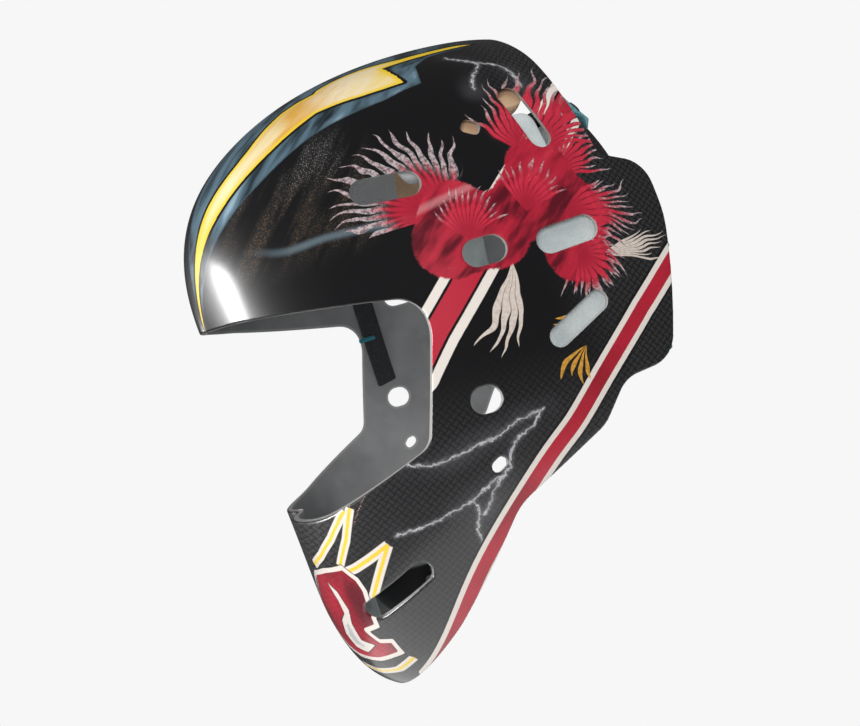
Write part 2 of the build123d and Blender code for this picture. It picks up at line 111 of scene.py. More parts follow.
def nearest_on(points: Array, line: Array, closed: bool = False) -> tuple[Array, Array, Array]:
    """The nearest place of a polyline to each point: the foot of the perpendicular on each segment,
    kept between the segment's ends, and the shortest of those.

    Args:
        points: n points.
        line: the polyline's points.
        closed: True if its last point joins its first.

    Returns:
        (vector from the line to the point, number of the nearest segment, share along it).
    """
    ends = np.roll(line, -1, 0) if closed else line[1:]
    starts = line if closed else line[:-1]
    best = np.full(len(points), np.inf)
    away = np.zeros_like(points)
    which = np.zeros(len(points), int)
    share = np.zeros(len(points))
    for i, (a, b) in enumerate(zip(starts, ends)):
        run = b - a
        t = np.clip((points - a) @ run / max(run @ run, 1e-12), 0, 1)
        gap = points - a - t[:, None] * run
        size = (gap ** 2).sum(1)
        near = size < best
        best[near], which[near], share[near] = size[near], i, t[near]
        away[near] = gap[near]
    return away, which, share


def inside_polygon(points: Array, corners: Array) -> Array:
    """True where a point is inside: a ray to the right crosses the outline an odd number of times."""
    inside = np.zeros(len(points), bool)
    for a, b in zip(corners, np.roll(corners, -1, 0)):
        spans = (a[1] > points[:, 1]) != (b[1] > points[:, 1])
        rise = b[1] - a[1] if b[1] != a[1] else 1e-12
        at = a[0] + (points[:, 1] - a[1]) / rise * (b[0] - a[0])
        inside ^= spans & (points[:, 0] < at)
    return inside


def rounded(corners: Sequence[Sequence[float]], scale_y: float, rise: float, drop: float,
            steps: int = 7) -> Array:
    """A corner list as a dense line, each corner an arc tangent to both its runs.

    Args:
        corners: (y share, z share, radius) rows.
        scale_y: millimetres of one y share.
        rise: millimetres of one z share above the origin.
        drop: millimetres of one z share below it.
        steps: points of each arc.

    Returns:
        The line's points, y and z.
    """
    places = np.array([(y * scale_y, z * (rise if z >= 0 else drop)) for y, z, _ in corners])
    radii = [r for _, _, r in corners]
    out = []
    for i, (p, r) in enumerate(zip(places, radii)):
        before, after = places[i - 1] - p, places[(i + 1) % len(places)] - p
        if r == 0:
            out.append(p[None])
            continue
        before, after = before / np.linalg.norm(before), after / np.linalg.norm(after)
        half = math.acos(float(np.clip(before @ after, -1, 1))) / 2
        middle = p + (before + after) / np.linalg.norm(before + after) * r / math.sin(half)
        sweep = math.pi / 2 - half
        axis = (p - middle) / np.linalg.norm(p - middle)
        side = np.array([-axis[1], axis[0]])
        turn = 1.0 if side @ after > 0 else -1.0
        t = np.linspace(-sweep, sweep, steps)[:, None] * turn
        out.append(middle + r * (np.cos(t) * axis + np.sin(t) * side))
    return np.concatenate(out)


# ---------------------------------------------------------------- the shell's form
@dataclass(frozen=True)
class ShellForm:
    """The outside face of the shell and every face parallel to it, in millimetres."""

    brow_reach: float = 128.0
    crown_rise: float = 129.0
    chin_drop: float = 161.0
    half_width: float = 101.0
    wall: float = 3.0
    glue_gap: float = 0.3
    widest_behind: float = 0.0625
    front_round: float = 2.15
    rear_round: float = 2.0
    crown_round: float = 0.93
    jaw_round: float = 1.12
    rear_stretch: float = 1.29
    top_line: tuple = ((-0.988, 0.109), (-1.0, 0.24), (-0.996, 0.388), (-0.957, 0.543),
                       (-0.863, 0.694), (-0.699, 0.826), (-0.469, 0.93), (-0.195, 0.988),
                       (0.078, 1.0), (0.328, 0.969), (0.531, 0.868), (0.688, 0.698),
                       (0.813, 0.481), (0.875, 0.31))
    bottom_line: tuple = ((-0.855, -0.311), (-0.855, -0.391), (-0.863, -0.478), (-0.871, -0.571),
                          (-0.867, -0.665), (-0.848, -0.758), (-0.813, -0.845),
                          (-0.762, -0.916), (-0.688, -0.969), (-0.563, -1.0), (-0.344, -0.975),
                          (0.0, -0.894), (0.391, -0.758), (0.75, -0.609))
    side_share: tuple = (0.40, 0.40, 0.40, 0.42, 0.42, 0.43, 0.44, 0.45, 0.46, 0.46, 0.46, 0.46,
                         0.46, 0.46)
    rim: tuple = ((0.281, 1.047, 0), (0.348, 0.806, 60), (0.378, 0.384, 5), (0.533, 0.322, 13),
                  (0.523, 0.14, 60), (0.397, -0.25, 13), (0.215, -0.26, 13),
                  (0.116, -0.357, 14), (-0.215, -0.484, 24), (-0.477, -0.773, 60),
                  (-0.703, -0.981, 0))
    port: tuple = ((-1.2, 0.24, 0), (-0.875, 0.208, 60), (-0.338, 0.108, 12), (-0.338, 0.0, 18),
                   (-0.441, -0.273, 9), (-0.813, -0.398, 40), (-1.2, -0.404, 0))
    slots: tuple = ((-0.323, 0.467, 28.5, 11.3, -7.0), (-0.107, 0.184, 18.2, 11.4, -1.0),
                    (0.192, 0.571, 31.0, 9.5, -80.0), (0.163, 0.162, 27.3, 10.9, 3.0),
                    (0.113, -0.08, 30.3, 8.9, 25.0), (-0.241, -0.203, 13.0, 10.9, -3.0),
                    (-0.252, -0.368, 7.3, 5.2, 29.0), (-0.641, -0.624, 32.8, 9.7, 32.0))
    top_hole: tuple = (0.005, 0.583, 7.7, 6.3, -33.0, 2.2)
    front_pinch: float = 6.0
    least_width: float = 0.0004

    @property
    def last_ring(self) -> int:
        """Number of the last ring."""
        return len(self.top_line) - 1

    @property
    def lines(self) -> tuple[NaturalSpline, NaturalSpline, NaturalSpline]:
        """(top line, bottom line, side share), by ring."""
        top = NaturalSpline([self.spot(*p) for p in self.top_line])
        bottom = NaturalSpline([self.spot(*p) for p in self.bottom_line])
        return top, bottom, NaturalSpline([(s,) for s in self.side_share])

    def spot(self, y: float, z: float) -> tuple[float, float]:
        """A side-view place in millimetres from its shares."""
        return y * self.brow_reach, z * (self.crown_rise if z >= 0 else self.chin_drop)

    def inward(self, line: NaturalSpline, ring: Array, depth: Array, turn: float) -> Array:
        """The line's points, moved by depth at right angles to the line, to the inside."""
        step = 0.02
        a = line(np.maximum(ring - step, 0))
        b = line(np.minimum(ring + step, self.last_ring))
        way = b - a
        way = way / np.linalg.norm(way, axis=-1, keepdims=True)
        side = np.stack([way[..., 1], -way[..., 0]], -1)
        return line(ring) + turn * np.asarray(depth)[..., None] * side

    def point(self, ring: Array, turn: Array, depth: Array | float = 0.0) -> Array:
        """Points of the face that lies depth below the outside.

        In the ring's plane a point is half + reach * |cos turn| towards the top or the bottom, and
        its x is the ring's half width times |sin turn| to a power near one. The half width follows
        a rounded plan: (1 - (distance from the widest point / reach)^n)^(1/n).

        Args:
            ring: ring numbers.
            turn: radians from the top line, positive on the wearer's left.
            depth: millimetres below the outside face.

        Returns:
            x, y, z in millimetres.
        """
        ring, turn = np.broadcast_arrays(np.asarray(ring, float), np.asarray(turn, float))
        depth = np.broadcast_to(np.asarray(depth, float), ring.shape)
        top_line, bottom_line, share_line = self.lines
        top = self.inward(top_line, ring, depth, 1)
        bottom = self.inward(bottom_line, ring, depth, -1)
        side = top + share_line(ring) * (bottom - top)
        off = side[..., 0] - self.widest_behind * self.brow_reach
        reach = self.brow_reach * (1 + self.widest_behind) - depth - self.front_pinch
        reach = np.where(off > 0, reach * self.rear_stretch, reach)
        power = np.where(off > 0, self.rear_round, self.front_round)
        left = np.maximum(1 - (np.abs(off) / reach) ** power, self.least_width)
        half = (self.half_width - depth) * left ** (1 / power)
        lean = np.cos(turn)
        goal = np.where((lean >= 0)[..., None], top, bottom)
        yz = side + np.abs(lean)[..., None] * (goal - side)
        edge = np.where(lean >= 0, self.crown_round, self.jaw_round)
        x = half * np.sign(np.sin(turn)) * np.abs(np.sin(turn)) ** edge
        return np.concatenate([x[..., None], yz], -1)

    def normal(self, ring: Array, turn: Array, depth: Array | float = 0.0) -> Array:
        """Outward normals: the cross product of the steps along and across the rings."""
        step = 0.004
        turn = np.asarray(turn, float)
        safe = np.where(np.abs(np.sin(turn)) < 2 * step, turn + 2 * step, turn)
        low, high = np.maximum(ring - step, 0), np.minimum(ring + step, self.last_ring)
        along = self.point(high, safe, depth) - self.point(low, safe, depth)
        across = self.point(ring, safe + step, depth) - self.point(ring, safe - step, depth)
        n = np.cross(across, along)
        n = n / np.maximum(np.linalg.norm(n, axis=-1, keepdims=True), 1e-12)
        middle = self.point(ring, safe, depth)
        return n * np.sign((n * (middle - [0, 0, -20])).sum(-1, keepdims=True))

    def on_face(self, places: Sequence[Sequence[float]], depth: float = 0.0) -> Array:
        """Points for (ring, turn in degrees) places."""
        table = np.asarray(places, float)
        return self.point(table[:, 0], np.radians(table[:, 1]), depth)

    def outline(self, corners: Sequence[Sequence[float]]) -> Array:
        """A side-view outline in millimetres."""
        return rounded(corners, self.brow_reach, self.crown_rise, self.chin_drop)

    def cut_distance(self, yz: Array) -> Array:
        """Distance from the nearest cut in the side view, below zero where the shell is cut away.

        A slot is a bar of half its width round a straight middle line, the top hole a square with
        round corners, and the rim and the port are lines closed far outside the shell.

        Args:
            yz: n side-view places.

        Returns:
            n distances.
        """
        far = 400.0
        rim, port = self.outline(self.rim), self.outline(self.port)
        rim_shape = np.concatenate([rim, [(-far, -far), (far, -far), (far, far),
                                          (rim[0, 0], far)]])
        port_shape = np.concatenate([port, [(-far, port[-1, 1]), (-far, port[0, 1])]])
        best = np.full(len(yz), far)
        for line, shape in ((rim, rim_shape), (port, port_shape)):
            away = np.linalg.norm(nearest_on(yz, line)[0], axis=1)
            best = np.minimum(best, np.where(inside_polygon(yz, shape), -away, away))
        for y, z, length, width, tilt in self.slots:
            way = np.array([math.cos(math.radians(tilt)), math.sin(math.radians(tilt))])
            middle = np.array(self.spot(y, z))
            half = way * (length - width) / 2
            away = nearest_on(yz, np.array([middle - half, middle + half]))[0]
            best = np.minimum(best, np.linalg.norm(away, axis=1) - width / 2)
        y, z, length, width, tilt, corner = self.top_hole
        c, s = math.cos(math.radians(tilt)), math.sin(math.radians(tilt))
        local = (yz - self.spot(y, z)) @ np.array([[c, -s], [s, c]])
        over = np.abs(local) - [length / 2 - corner, width / 2 - corner]
        square = np.linalg.norm(np.maximum(over, 0), axis=1) + np.minimum(over.max(1), 0) - corner
        return np.minimum(best, square)


FORM = ShellForm()


# ---------------------------------------------------------------- sheets that follow the form
@dataclass
class Sheet:
    """Triangles on the form: each corner is a ring number and a turn."""

    ring: Array
    turn: Array
    faces: Array

    @classmethod
    def grid(cls, pitch: float, rings: tuple[float, float], turns: tuple[float, float],
             depth: float = 0.0) -> "Sheet":
        """A grid of about that pitch over a stretch of the form.

        Args:
            pitch: millimetres between grid lines.
            rings: first and last ring.
            turns: first and last turn in degrees; a full turn joins up.
            depth: of the face that the pitch is measured on.

        Returns:
            The sheet, its faces outwards.
        """
        fine = np.linspace(*rings, 400)
        steps = [np.linalg.norm(np.diff(FORM.point(fine, math.radians(a), depth), axis=0), axis=1)
                 for a in np.linspace(turns[0], turns[1], 7)]
        length = np.concatenate([[0], np.cumsum(np.max(steps, 0))])
        rows = np.interp(np.linspace(0, length[-1], max(int(length[-1] / pitch), 3)), length, fine)
        fine = np.radians(np.linspace(*turns, 600))
        steps = [np.linalg.norm(np.diff(FORM.point(r, fine, depth), axis=0), axis=1)
                 for r in np.linspace(rings[0], rings[1], 5)]
        length = np.concatenate([[0], np.cumsum(np.max(steps, 0))])
        count = max(int(length[-1] / pitch), 3)
        columns = np.interp(np.linspace(0, length[-1], count), length, fine)
        whole = abs(turns[1] - turns[0] - 360) < 1e-6
        if whole:
            columns = columns[:-1]
        ring, turn = (a.ravel() for a in np.meshgrid(rows, columns, indexing="ij"))
        across = len(columns)
        i, j = np.meshgrid(np.arange(len(rows) - 1), np.arange(across - (0 if whole else 1)),
                           indexing="ij")
        a, b = (i * across + j).ravel(), (i * across + (j + 1) % across).ravel()
        c, d = b + across, a + across
        faces = np.concatenate([np.stack([a, b, c], 1), np.stack([a, c, d], 1)])
        return cls(ring, turn, faces).outward()

    def outward(self) -> "Sheet":
        """The same sheet with its faces turned away from the head."""
        p = FORM.point(self.ring, self.turn)
        a, b, c = (p[self.faces[:, k]] for k in range(3))
        facing = (np.cross(b - a, c - a) * FORM.normal(self.ring, self.turn)[self.faces[:, 0]])
        if facing.sum() < 0:
            self.faces = self.faces[:, ::-1]
        return self

    def side_view(self, depth: float = 0.0) -> Array:
        """The corners' y and z."""
        return FORM.point(self.ring, self.turn, depth)[:, 1:]

    def split(self, value: Array, snap: float = 0.05) -> tuple["Sheet", Array]:
        """Cuts every triangle that a value's zero line crosses along that line.

        Args:
            value: one number for each corner.
            snap: a value closer to zero than this counts as zero.

        Returns:
            (sheet, value), the new corners' values zero.
        """
        v = np.where(np.abs(value) < snap, 0.0, value)
        sign = np.sign(v)[self.faces]
        crossed = (sign.max(1) > 0) & (sign.min(1) < 0)
        cut = self.faces[crossed]
        if not len(cut):
            return self, v
        alone = np.where((np.sign(v)[cut] == 0).any(1),
                         np.argmax(np.sign(v)[cut] == 0, 1),
                         np.argmax(np.sign(v)[cut] == -np.sign(np.sign(v)[cut].sum(1))[:, None],
                                   1))
        cut = cut[np.arange(len(cut))[:, None], (alone[:, None] + np.arange(3)) % 3]
        edges = np.stack([cut, np.roll(cut, -1, 1)], 2)
        over = v[edges[..., 0]] * v[edges[..., 1]] < 0
        pairs, back = np.unique(np.sort(edges[over], 1), axis=0, return_inverse=True)
        t = v[pairs[:, 0]] / (v[pairs[:, 0]] - v[pairs[:, 1]])
        turn_step = (self.turn[pairs[:, 1]] - self.turn[pairs[:, 0]] + math.pi) % (2 * math.pi)
        ring = self.ring[pairs[:, 0]] + t * (self.ring[pairs[:, 1]] - self.ring[pairs[:, 0]])
        turn = self.turn[pairs[:, 0]] + t * (turn_step - math.pi)
        middle = np.full(over.shape, -1)
        middle[over] = len(self.ring) + back.ravel()
        two = over.sum(1) == 2
        a, b, c = cut.T
        ab, bc, ca = middle.T
        pieces = [self.faces[~crossed],
                  np.stack([a, ab, ca], 1)[two], np.stack([ab, b, c], 1)[two],
                  np.stack([ab, c, ca], 1)[two],
                  np.stack([a, b, bc], 1)[~two], np.stack([a, bc, c], 1)[~two]]
        sheet = Sheet(np.concatenate([self.ring, ring]), np.concatenate([self.turn, turn]),
                      np.concatenate(pieces))
        return sheet, np.concatenate([v, np.zeros(len(ring))])

    def kept(self, value: Array) -> tuple["Sheet", Array]:
        """The part where value is above zero, cut exactly along its zero line, with its values."""
        sheet, v = self.split(value)
        faces = sheet.faces[(v[sheet.faces].min(1) >= 0) & (v[sheet.faces].max(1) > 0)]
        used = np.unique(faces)
        number = np.full(len(sheet.ring), -1)
        number[used] = np.arange(len(used))
        return Sheet(sheet.ring[used], sheet.turn[used], number[faces]), v[used]

    def kept_in_levels(self, value: Array, levels: Sequence[float]) -> tuple["Sheet", Array]:
        """The same, cut along several more levels of the value first, so that edges are there."""
        sheet = self
        for level in levels:
            sheet, value = sheet.split(value - level)
            value = value + level
        return sheet.kept(value)

    def border(self) -> Array:
        """The edges that only one triangle has, in that triangle's direction."""
        edges = np.concatenate([self.faces[:, [0, 1]], self.faces[:, [1, 2]],
                                self.faces[:, [2, 0]]])
        _, back, counts = np.unique(np.sort(edges, 1), axis=0, return_inverse=True,
                                    return_counts=True)
        return edges[counts[back.ravel()] == 1]


@dataclass
class Skin:
    """A finished surface in millimetres, with the numbers its finish reads."""

    points: Array
    faces: list[Array]
    fields: dict[str, Array] = field(default_factory=dict)

    def to_object(self, name: str, material: bpy.types.Material) -> bpy.types.Object:
        """Writes the surface to a smooth-shaded mesh object at the origin, in metres."""
        mesh = bpy.data.meshes.new(name)
        sizes = np.concatenate([np.full(len(f), f.shape[1]) for f in self.faces])
        corners = np.concatenate([f.ravel() for f in self.faces])
        starts = np.concatenate([[0], np.cumsum(sizes)[:-1]])
        mesh.vertices.add(len(self.points))
        mesh.vertices.foreach_set("co", (self.points * MM).astype(np.float32).ravel())
        mesh.loops.add(len(corners))
        mesh.loops.foreach_set("vertex_index", corners.astype(np.int32))
        mesh.polygons.add(len(sizes))
        mesh.polygons.foreach_set("loop_start", starts.astype(np.int32))
        mesh.polygons.foreach_set("use_smooth", np.ones(len(sizes), bool))
        mesh.update(calc_edges=True)
        mesh.validate()
        for key, values in self.fields.items():
            attribute = mesh.attributes.new(key, "FLOAT", "POINT")
            attribute.data.foreach_set("value", values.astype(np.float32))
        mesh.materials.append(material)
        made = bpy.data.objects.new(name, mesh)
        bpy.context.scene.collection.objects.link(made)
        return made


# ---------------------------------------------------------------- painted places
def signed_place(points: Array, corners: Sequence[Sequence[float]], chart: Array) -> Array:
    """Distance to a closed outline painted on the shell, above zero inside it.

    The size is the distance in space to the outline. The sign is found on the flat chart of ring
    number and turn.

    Args:
        points: n points of the left half.
        corners: the outline's (ring, turn) corners.
        chart: the n points' own (ring, turn in degrees).

    Returns:
        n distances in millimetres.
    """
    table = np.asarray(corners, float)
    line = FORM.on_face(table)
    away = np.linalg.norm(nearest_on(points, line, closed=True)[0], axis=1)
    return np.where(inside_polygon(chart, table), away, -away)


def line_place(points: Array, spots: Sequence[Sequence[float]], steps: int = 5
               ) -> tuple[Array, Array, Array]:
    """Where points stand by a line painted on the shell.

    Args:
        points: n points of the left half.
        spots: the line's (ring, turn) spots, joined by a spline.
        steps: straight runs between two spots.

    Returns:
        (distance to the line, the same with a sign for the side, share along the line).
    """
    table = NaturalSpline(spots).sampled((len(spots) - 1) * steps + 1)
    line = FORM.on_face(table)
    away, which, share = nearest_on(points, line)
    far = np.linalg.norm(away, axis=1)
    run = np.diff(line, axis=0)[which]
    normal = FORM.normal(table[which, 0], np.radians(table[which, 1]))
    side = np.sign((np.cross(normal, run) * away).sum(1))
    return far, far * side, (which + share) / (len(table) - 1)


@dataclass(frozen=True)
class Livery:
    """The painted design of one side of the shell, as (ring, turn in degrees) places."""

    bolt: tuple = ((1.8, 51.5), (2.0, 47.0), (2.4, 43.4), (2.9, 38.6), (3.4, 34.6), (3.8, 32.4),
                   (4.11, 31.2), (4.42, 30.7), (4.68, 30.3), (4.95, 29.7), (5.22, 28.2),
                   (5.56, 24.4), (5.86, 21.8), (6.12, 21.4), (6.36, 22.1), (6.41, 20.3),
                   (6.61, 19.3), (6.82, 19.1), (7.05, 19.6), (7.3, 21.0), (7.55, 22.4),
                   (7.91, 22.2), (8.36, 21.8), (8.6, 22.4), (8.34, 23.4), (7.88, 24.4),
                   (7.53, 24.9), (7.28, 25.2), (7.5, 35.8), (7.21, 36.0), (6.93, 35.7),
                   (6.64, 34.7), (6.31, 33.8), (5.96, 35.5), (5.57, 37.3), (5.2, 38.4),
                   (4.81, 39.4), (4.37, 40.5), (3.86, 41.2), (3.34, 42.2), (2.85, 44.4),
                   (2.3, 48.4))
    band: tuple = ((1.6, 53.0), (2.0, 44.0), (2.6, 32.0), (3.2, 22.0), (4.0, 14.0), (5.0, 10.0),
                   (6.0, 8.5), (7.0, 10.0), (8.0, 13.0), (9.0, 18.0), (8.4, 24.8), (7.9, 26.2),
                   (7.7, 30.0), (7.72, 38.0), (7.48, 38.8), (7.21, 40.3), (6.87, 40.7),
                   (6.52, 41.1), (6.15, 41.8), (5.74, 43.5), (5.27, 45.3), (4.82, 46.2),
                   (4.28, 47.4), (3.6, 48.4), (2.8, 50.4), (2.1, 54.0))
    upper_stripe: tuple = ((7.4, 96.0), (7.65, 91.5), (8.15, 82.7), (8.65, 73.1), (8.99, 66.4),
                           (9.28, 60.4), (9.62, 51.5), (9.95, 42.0), (10.2, 33.0), (10.4, 22.0))
    lower_stripe: tuple = ((11.6, 72.0), (11.22, 80.6), (10.83, 89.9), (10.37, 99.6),
                           (10.08, 105.9), (9.8, 110.1), (9.42, 116.8), (9.16, 122.2),
                           (8.89, 130.9), (8.7, 144.4), (8.5, 156.0))
    streaks: tuple = (
        ((9.57, 102.6), (9.39, 103.3), (9.09, 104.2), (8.87, 105.5), (8.72, 106.1),
         (8.39, 107.0), (7.97, 108.7), (7.56, 109.5), (7.18, 109.6)),
        ((9.53, 102.9), (9.43, 104.8), (9.31, 105.8), (9.14, 107.2), (9.13, 109.5),
         (9.08, 111.4), (8.85, 112.5), (8.67, 114.1), (8.25, 116.4), (7.89, 118.2),
         (7.43, 120.0), (6.94, 122.1)),
        ((8.59, 115.0), (8.75, 117.5), (8.73, 119.1), (8.85, 121.7), (8.93, 123.5)),
        ((9.08, 111.4), (8.95, 113.2), (8.9, 115.0), (8.81, 117.6)),
        ((8.1, 29.0), (8.25, 31.3), (8.48, 33.8), (8.53, 36.1), (8.41, 40.1), (8.43, 44.3)),
        ((8.5, 33.8), (8.83, 36.4), (9.0, 39.7), (9.1, 44.4)))
    chevrons: tuple = (
        ((4.15, 142.1), (4.7, 134.5), (5.25, 126.9), (5.78, 119.1)),
        ((5.94, 118.3), (5.75, 125.3), (5.45, 133.0)),
        ((5.55, 134.3), (5.95, 131.2), (6.35, 127.8), (6.85, 123.6)),
        ((6.85, 123.6), (6.59, 131.9), (6.39, 140.4)))
    emblem: tuple = ((3.95, 147.9), (4.7, 139.0), (5.5, 132.8), (6.0, 133.6), (6.24, 135.6),
                     (6.5, 141.6), (6.66, 144.0), (6.3, 148.0), (6.75, 148.6), (7.15, 146.2),
                     (7.55, 149.2), (6.9, 157.0), (6.16, 165.3), (5.7, 170.0), (5.13, 174.6),
                     (4.5, 181.0), (3.9, 181.0))
    emblem_window: tuple = ((4.75, 143.0), (5.2, 142.6), (5.62, 145.6), (5.72, 150.6),
                            (6.1, 154.2), (6.62, 151.6), (6.42, 157.6), (5.95, 161.2),
                            (5.45, 160.4), (5.28, 154.4), (5.42, 149.0), (5.2, 146.0))
    ridge: tuple = ((4.42, 58.9), (5.31, 67.2), (6.0, 69.3), (6.6, 70.1), (7.18, 70.4),
                    (7.85, 69.1), (8.35, 68.6), (8.69, 67.7))
    under_line: tuple = ((6.4, 172.0), (7.0, 165.0), (7.6, 157.0), (7.9, 150.0))

    def fields(self, ring: Array, turn: Array) -> dict[str, Array]:
        """The numbers that the shell's finish reads, for each vertex.

        Distances are in millimetres: above zero inside an outline, or measured from a line.

        Args:
            ring: ring numbers of the vertices.
            turn: their turns in radians.

        Returns:
            Values by name.
        """
        turn = np.abs((turn + math.pi) % (2 * math.pi) - math.pi)
        chart = np.stack([ring, np.degrees(turn)], 1)
        points = FORM.point(ring, turn)
        out = {"bolt": signed_place(points, self.bolt, chart),
               "band": signed_place(points, self.band, chart),
               "emblem": signed_place(points, self.emblem, chart),
               "window": signed_place(points, self.emblem_window, chart)}
        for name, line in (("upper_stripe", self.upper_stripe),
                           ("lower_stripe", self.lower_stripe), ("ridge", self.ridge)):
            _, out[name], out[name + "_along"] = line_place(points, line)
        families = {"streak": self.streaks, "chevron": (*self.chevrons, self.under_line)}
        for family, lines in families.items():
            near = np.full(len(ring), 90.0)
            for number, line in enumerate(lines):
                far, signed, share = line_place(points, line, 2 if family == "streak" else 1)
                near = np.minimum(near, far)
                out[f"{family}_{number}"], out[f"{family}_{number}_along"] = signed, share
            out[family + "_near"] = near
        out["bolt_along"] = np.clip((ring - 1.8) / 6.8, 0, 1)
        return out


LIVERY = Livery()


# ---------------------------------------------------------------- shader writing
Number = "Signal | float"


class Graph:
    """A node tree being written."""

    def __init__(self, tree: bpy.types.NodeTree) -> None:
        """Keeps the tree.

        Args:
            tree: a material's tree or a group.
        """
        self.tree = tree

    def node(self, kind: str, **settings: object) -> bpy.types.Node:
        """Adds a node.

        Args:
            kind: its type without the leading ShaderNode.
            **settings: properties set on it.

        Returns:
            The node.
        """
        made = self.tree.nodes.new("ShaderNode" + kind)
        for key, value in settings.items():
            setattr(made, key, value)
        return made

    def feed(self, target: bpy.types.NodeSocket, value: object) -> None:
        """Links a signal to an input, or sets it to a plain value."""
        if isinstance(value, Signal):
            self.tree.links.new(value.socket, target)
        elif target.type == "RGBA" and len(value) == 3:
            target.default_value = (*value, 1.0)
        else:
            target.default_value = value

    def place(self) -> tuple["Signal", "Signal", "Signal"]:
        """The object's own x, y and z in millimetres."""
        parts = self.node("SeparateXYZ")
        source = self.node("TexCoord")
        self.tree.links.new(source.outputs["Object"], parts.inputs[0])
        return tuple(Signal(self, o) / MM for o in parts.outputs)

    def field(self, name: str) -> "Signal":
        """A number stored on the mesh."""
        node = self.node("Attribute", attribute_name=name)
        return Signal(self, node.outputs["Fac"])

    def vector(self, x: Number, y: Number, z: Number) -> "Signal":
        """A vector from three numbers."""
        node = self.node("CombineXYZ")
        for socket, value in zip(node.inputs, (x, y, z)):
            self.feed(socket, value)
        return Signal(self, node.outputs[0])

    def noise(self, at: "Signal", scale: float, detail: float = 2.0, rough: float = 0.5
              ) -> "Signal":
        """Noise from 0 to 1 at a place."""
        node = self.node("TexNoise")
        self.feed(node.inputs["Vector"], at)
        for key, value in (("Scale", scale), ("Detail", detail), ("Roughness", rough)):
            node.inputs[key].default_value = value
        return Signal(self, node.outputs["Fac"])

    def cells(self, at: "Signal", scale: float) -> tuple["Signal", "Signal"]:
        """(distance, colour) of a cell pattern at a place."""
        node = self.node("TexVoronoi")
        self.feed(node.inputs["Vector"], at)
        node.inputs["Scale"].default_value = scale
        return Signal(self, node.outputs["Distance"]), Signal(self, node.outputs["Color"])

    def mix(self, share: Number, first: object, second: object) -> "Signal":
        """A colour between two colours."""
        node = self.node("Mix", data_type="RGBA", clamp_factor=True)
        for index, value in ((0, share), (6, first), (7, second)):
            self.feed(node.inputs[index], value)
        return Signal(self, node.outputs[2])

    def ramp(self, value: "Signal", stops: Sequence[tuple[float, tuple[float, float, float]]]
             ) -> "Signal":
        """A colour read from a row of stops."""
        node = self.node("ValToRGB")
        self.feed(node.inputs[0], value)
        table = node.color_ramp.elements
        while len(table) < len(stops):
            table.new(0.5)
        for element, (at, colour) in zip(table, stops):
            element.position = at
            element.color = (*colour, 1.0)
        return Signal(self, node.outputs[0])

    def bump(self, height: "Signal", strength: float, distance: float) -> "Signal":
        """A normal turned by a height."""
        node = self.node("Bump")
        node.inputs["Strength"].default_value = strength
        node.inputs["Distance"].default_value = distance
        self.feed(node.inputs["Height"], height)
        return Signal(self, node.outputs[0])

    def group(self, tree: bpy.types.NodeTree, **values: object) -> dict[str, "Signal"]:
        """Uses a node group.

        Args:
            tree: the group.
            **values: its inputs by name.

        Returns:
            Its outputs by name.
        """
        node = self.node("Group", node_tree=tree)
        for key, value in values.items():
            self.feed(node.inputs[key], value)
        return {o.name: Signal(self, o) for o in node.outputs}


class Signal:
    """An output socket that arithmetic can be written with."""

    def __init__(self, graph: Graph, socket: bpy.types.NodeSocket) -> None:
        """Keeps the socket and the graph it is in."""
        self.graph = graph
        self.socket = socket

    def math(self, kind: str, *others: Number) -> "Signal":
        """One arithmetic node on this number and others."""
        node = self.graph.node("Math", operation=kind)
        for socket, value in zip(node.inputs, (self, *others)):
            self.graph.feed(socket, value)
        return Signal(self.graph, node.outputs[0])

    def __add__(self, other: Number) -> "Signal":
        return self.math("ADD", other)

    def __sub__(self, other: Number) -> "Signal":
        return self.math("SUBTRACT", other)

    def __rsub__(self, other: float) -> "Signal":
        return (self * -1.0) + other

    def __mul__(self, other: Number) -> "Signal":
        return self.math("MULTIPLY", other)

    def __truediv__(self, other: Number) -> "Signal":
        return self.math("DIVIDE", other)

    __radd__, __rmul__ = __add__, __mul__

    def size(self) -> "Signal":
        """The number without its sign."""
        return self.math("ABSOLUTE")

    def most(self, other: Number) -> "Signal":
        """The larger of two numbers."""
        return self.math("MAXIMUM", other)

    def above(self, low: float, high: float) -> "Signal":
        """0 up to low and 1 from high, smoothly in between; the other way round if high < low."""
        node = self.graph.node("MapRange", interpolation_type="SMOOTHSTEP", clamp=True)
        turned = high < low
        for index, value in enumerate((self, min(low, high), max(low, high),
                                       1.0 if turned else 0.0, 0.0 if turned else 1.0)):
            self.graph.feed(node.inputs[index], value)
        return Signal(self.graph, node.outputs[0])


def new_group(name: str, inputs: Sequence[str], outputs: dict[str, str]
              ) -> tuple[Graph, dict[str, Signal], Callable[[str, Signal], None]]:
    """Starts a node group.

    Args:
        name: the group's name.
        inputs: names of its number inputs.
        outputs: socket types by output name.

    Returns:
        (graph, its inputs by name, a function that sets an output).
    """
    tree = bpy.data.node_groups.new(name, "ShaderNodeTree")
    for key in inputs:
        tree.interface.new_socket(key, in_out="INPUT", socket_type="NodeSocketFloat")
    for key, kind in outputs.items():
        tree.interface.new_socket(key, in_out="OUTPUT", socket_type=kind)
    graph = Graph(tree)
    start = tree.nodes.new("NodeGroupInput")
    end = tree.nodes.new("NodeGroupOutput")
    given = {s.name: Signal(graph, s) for s in start.outputs if s.name}
    return graph, given, lambda key, value: graph.feed(end.inputs[key], value)


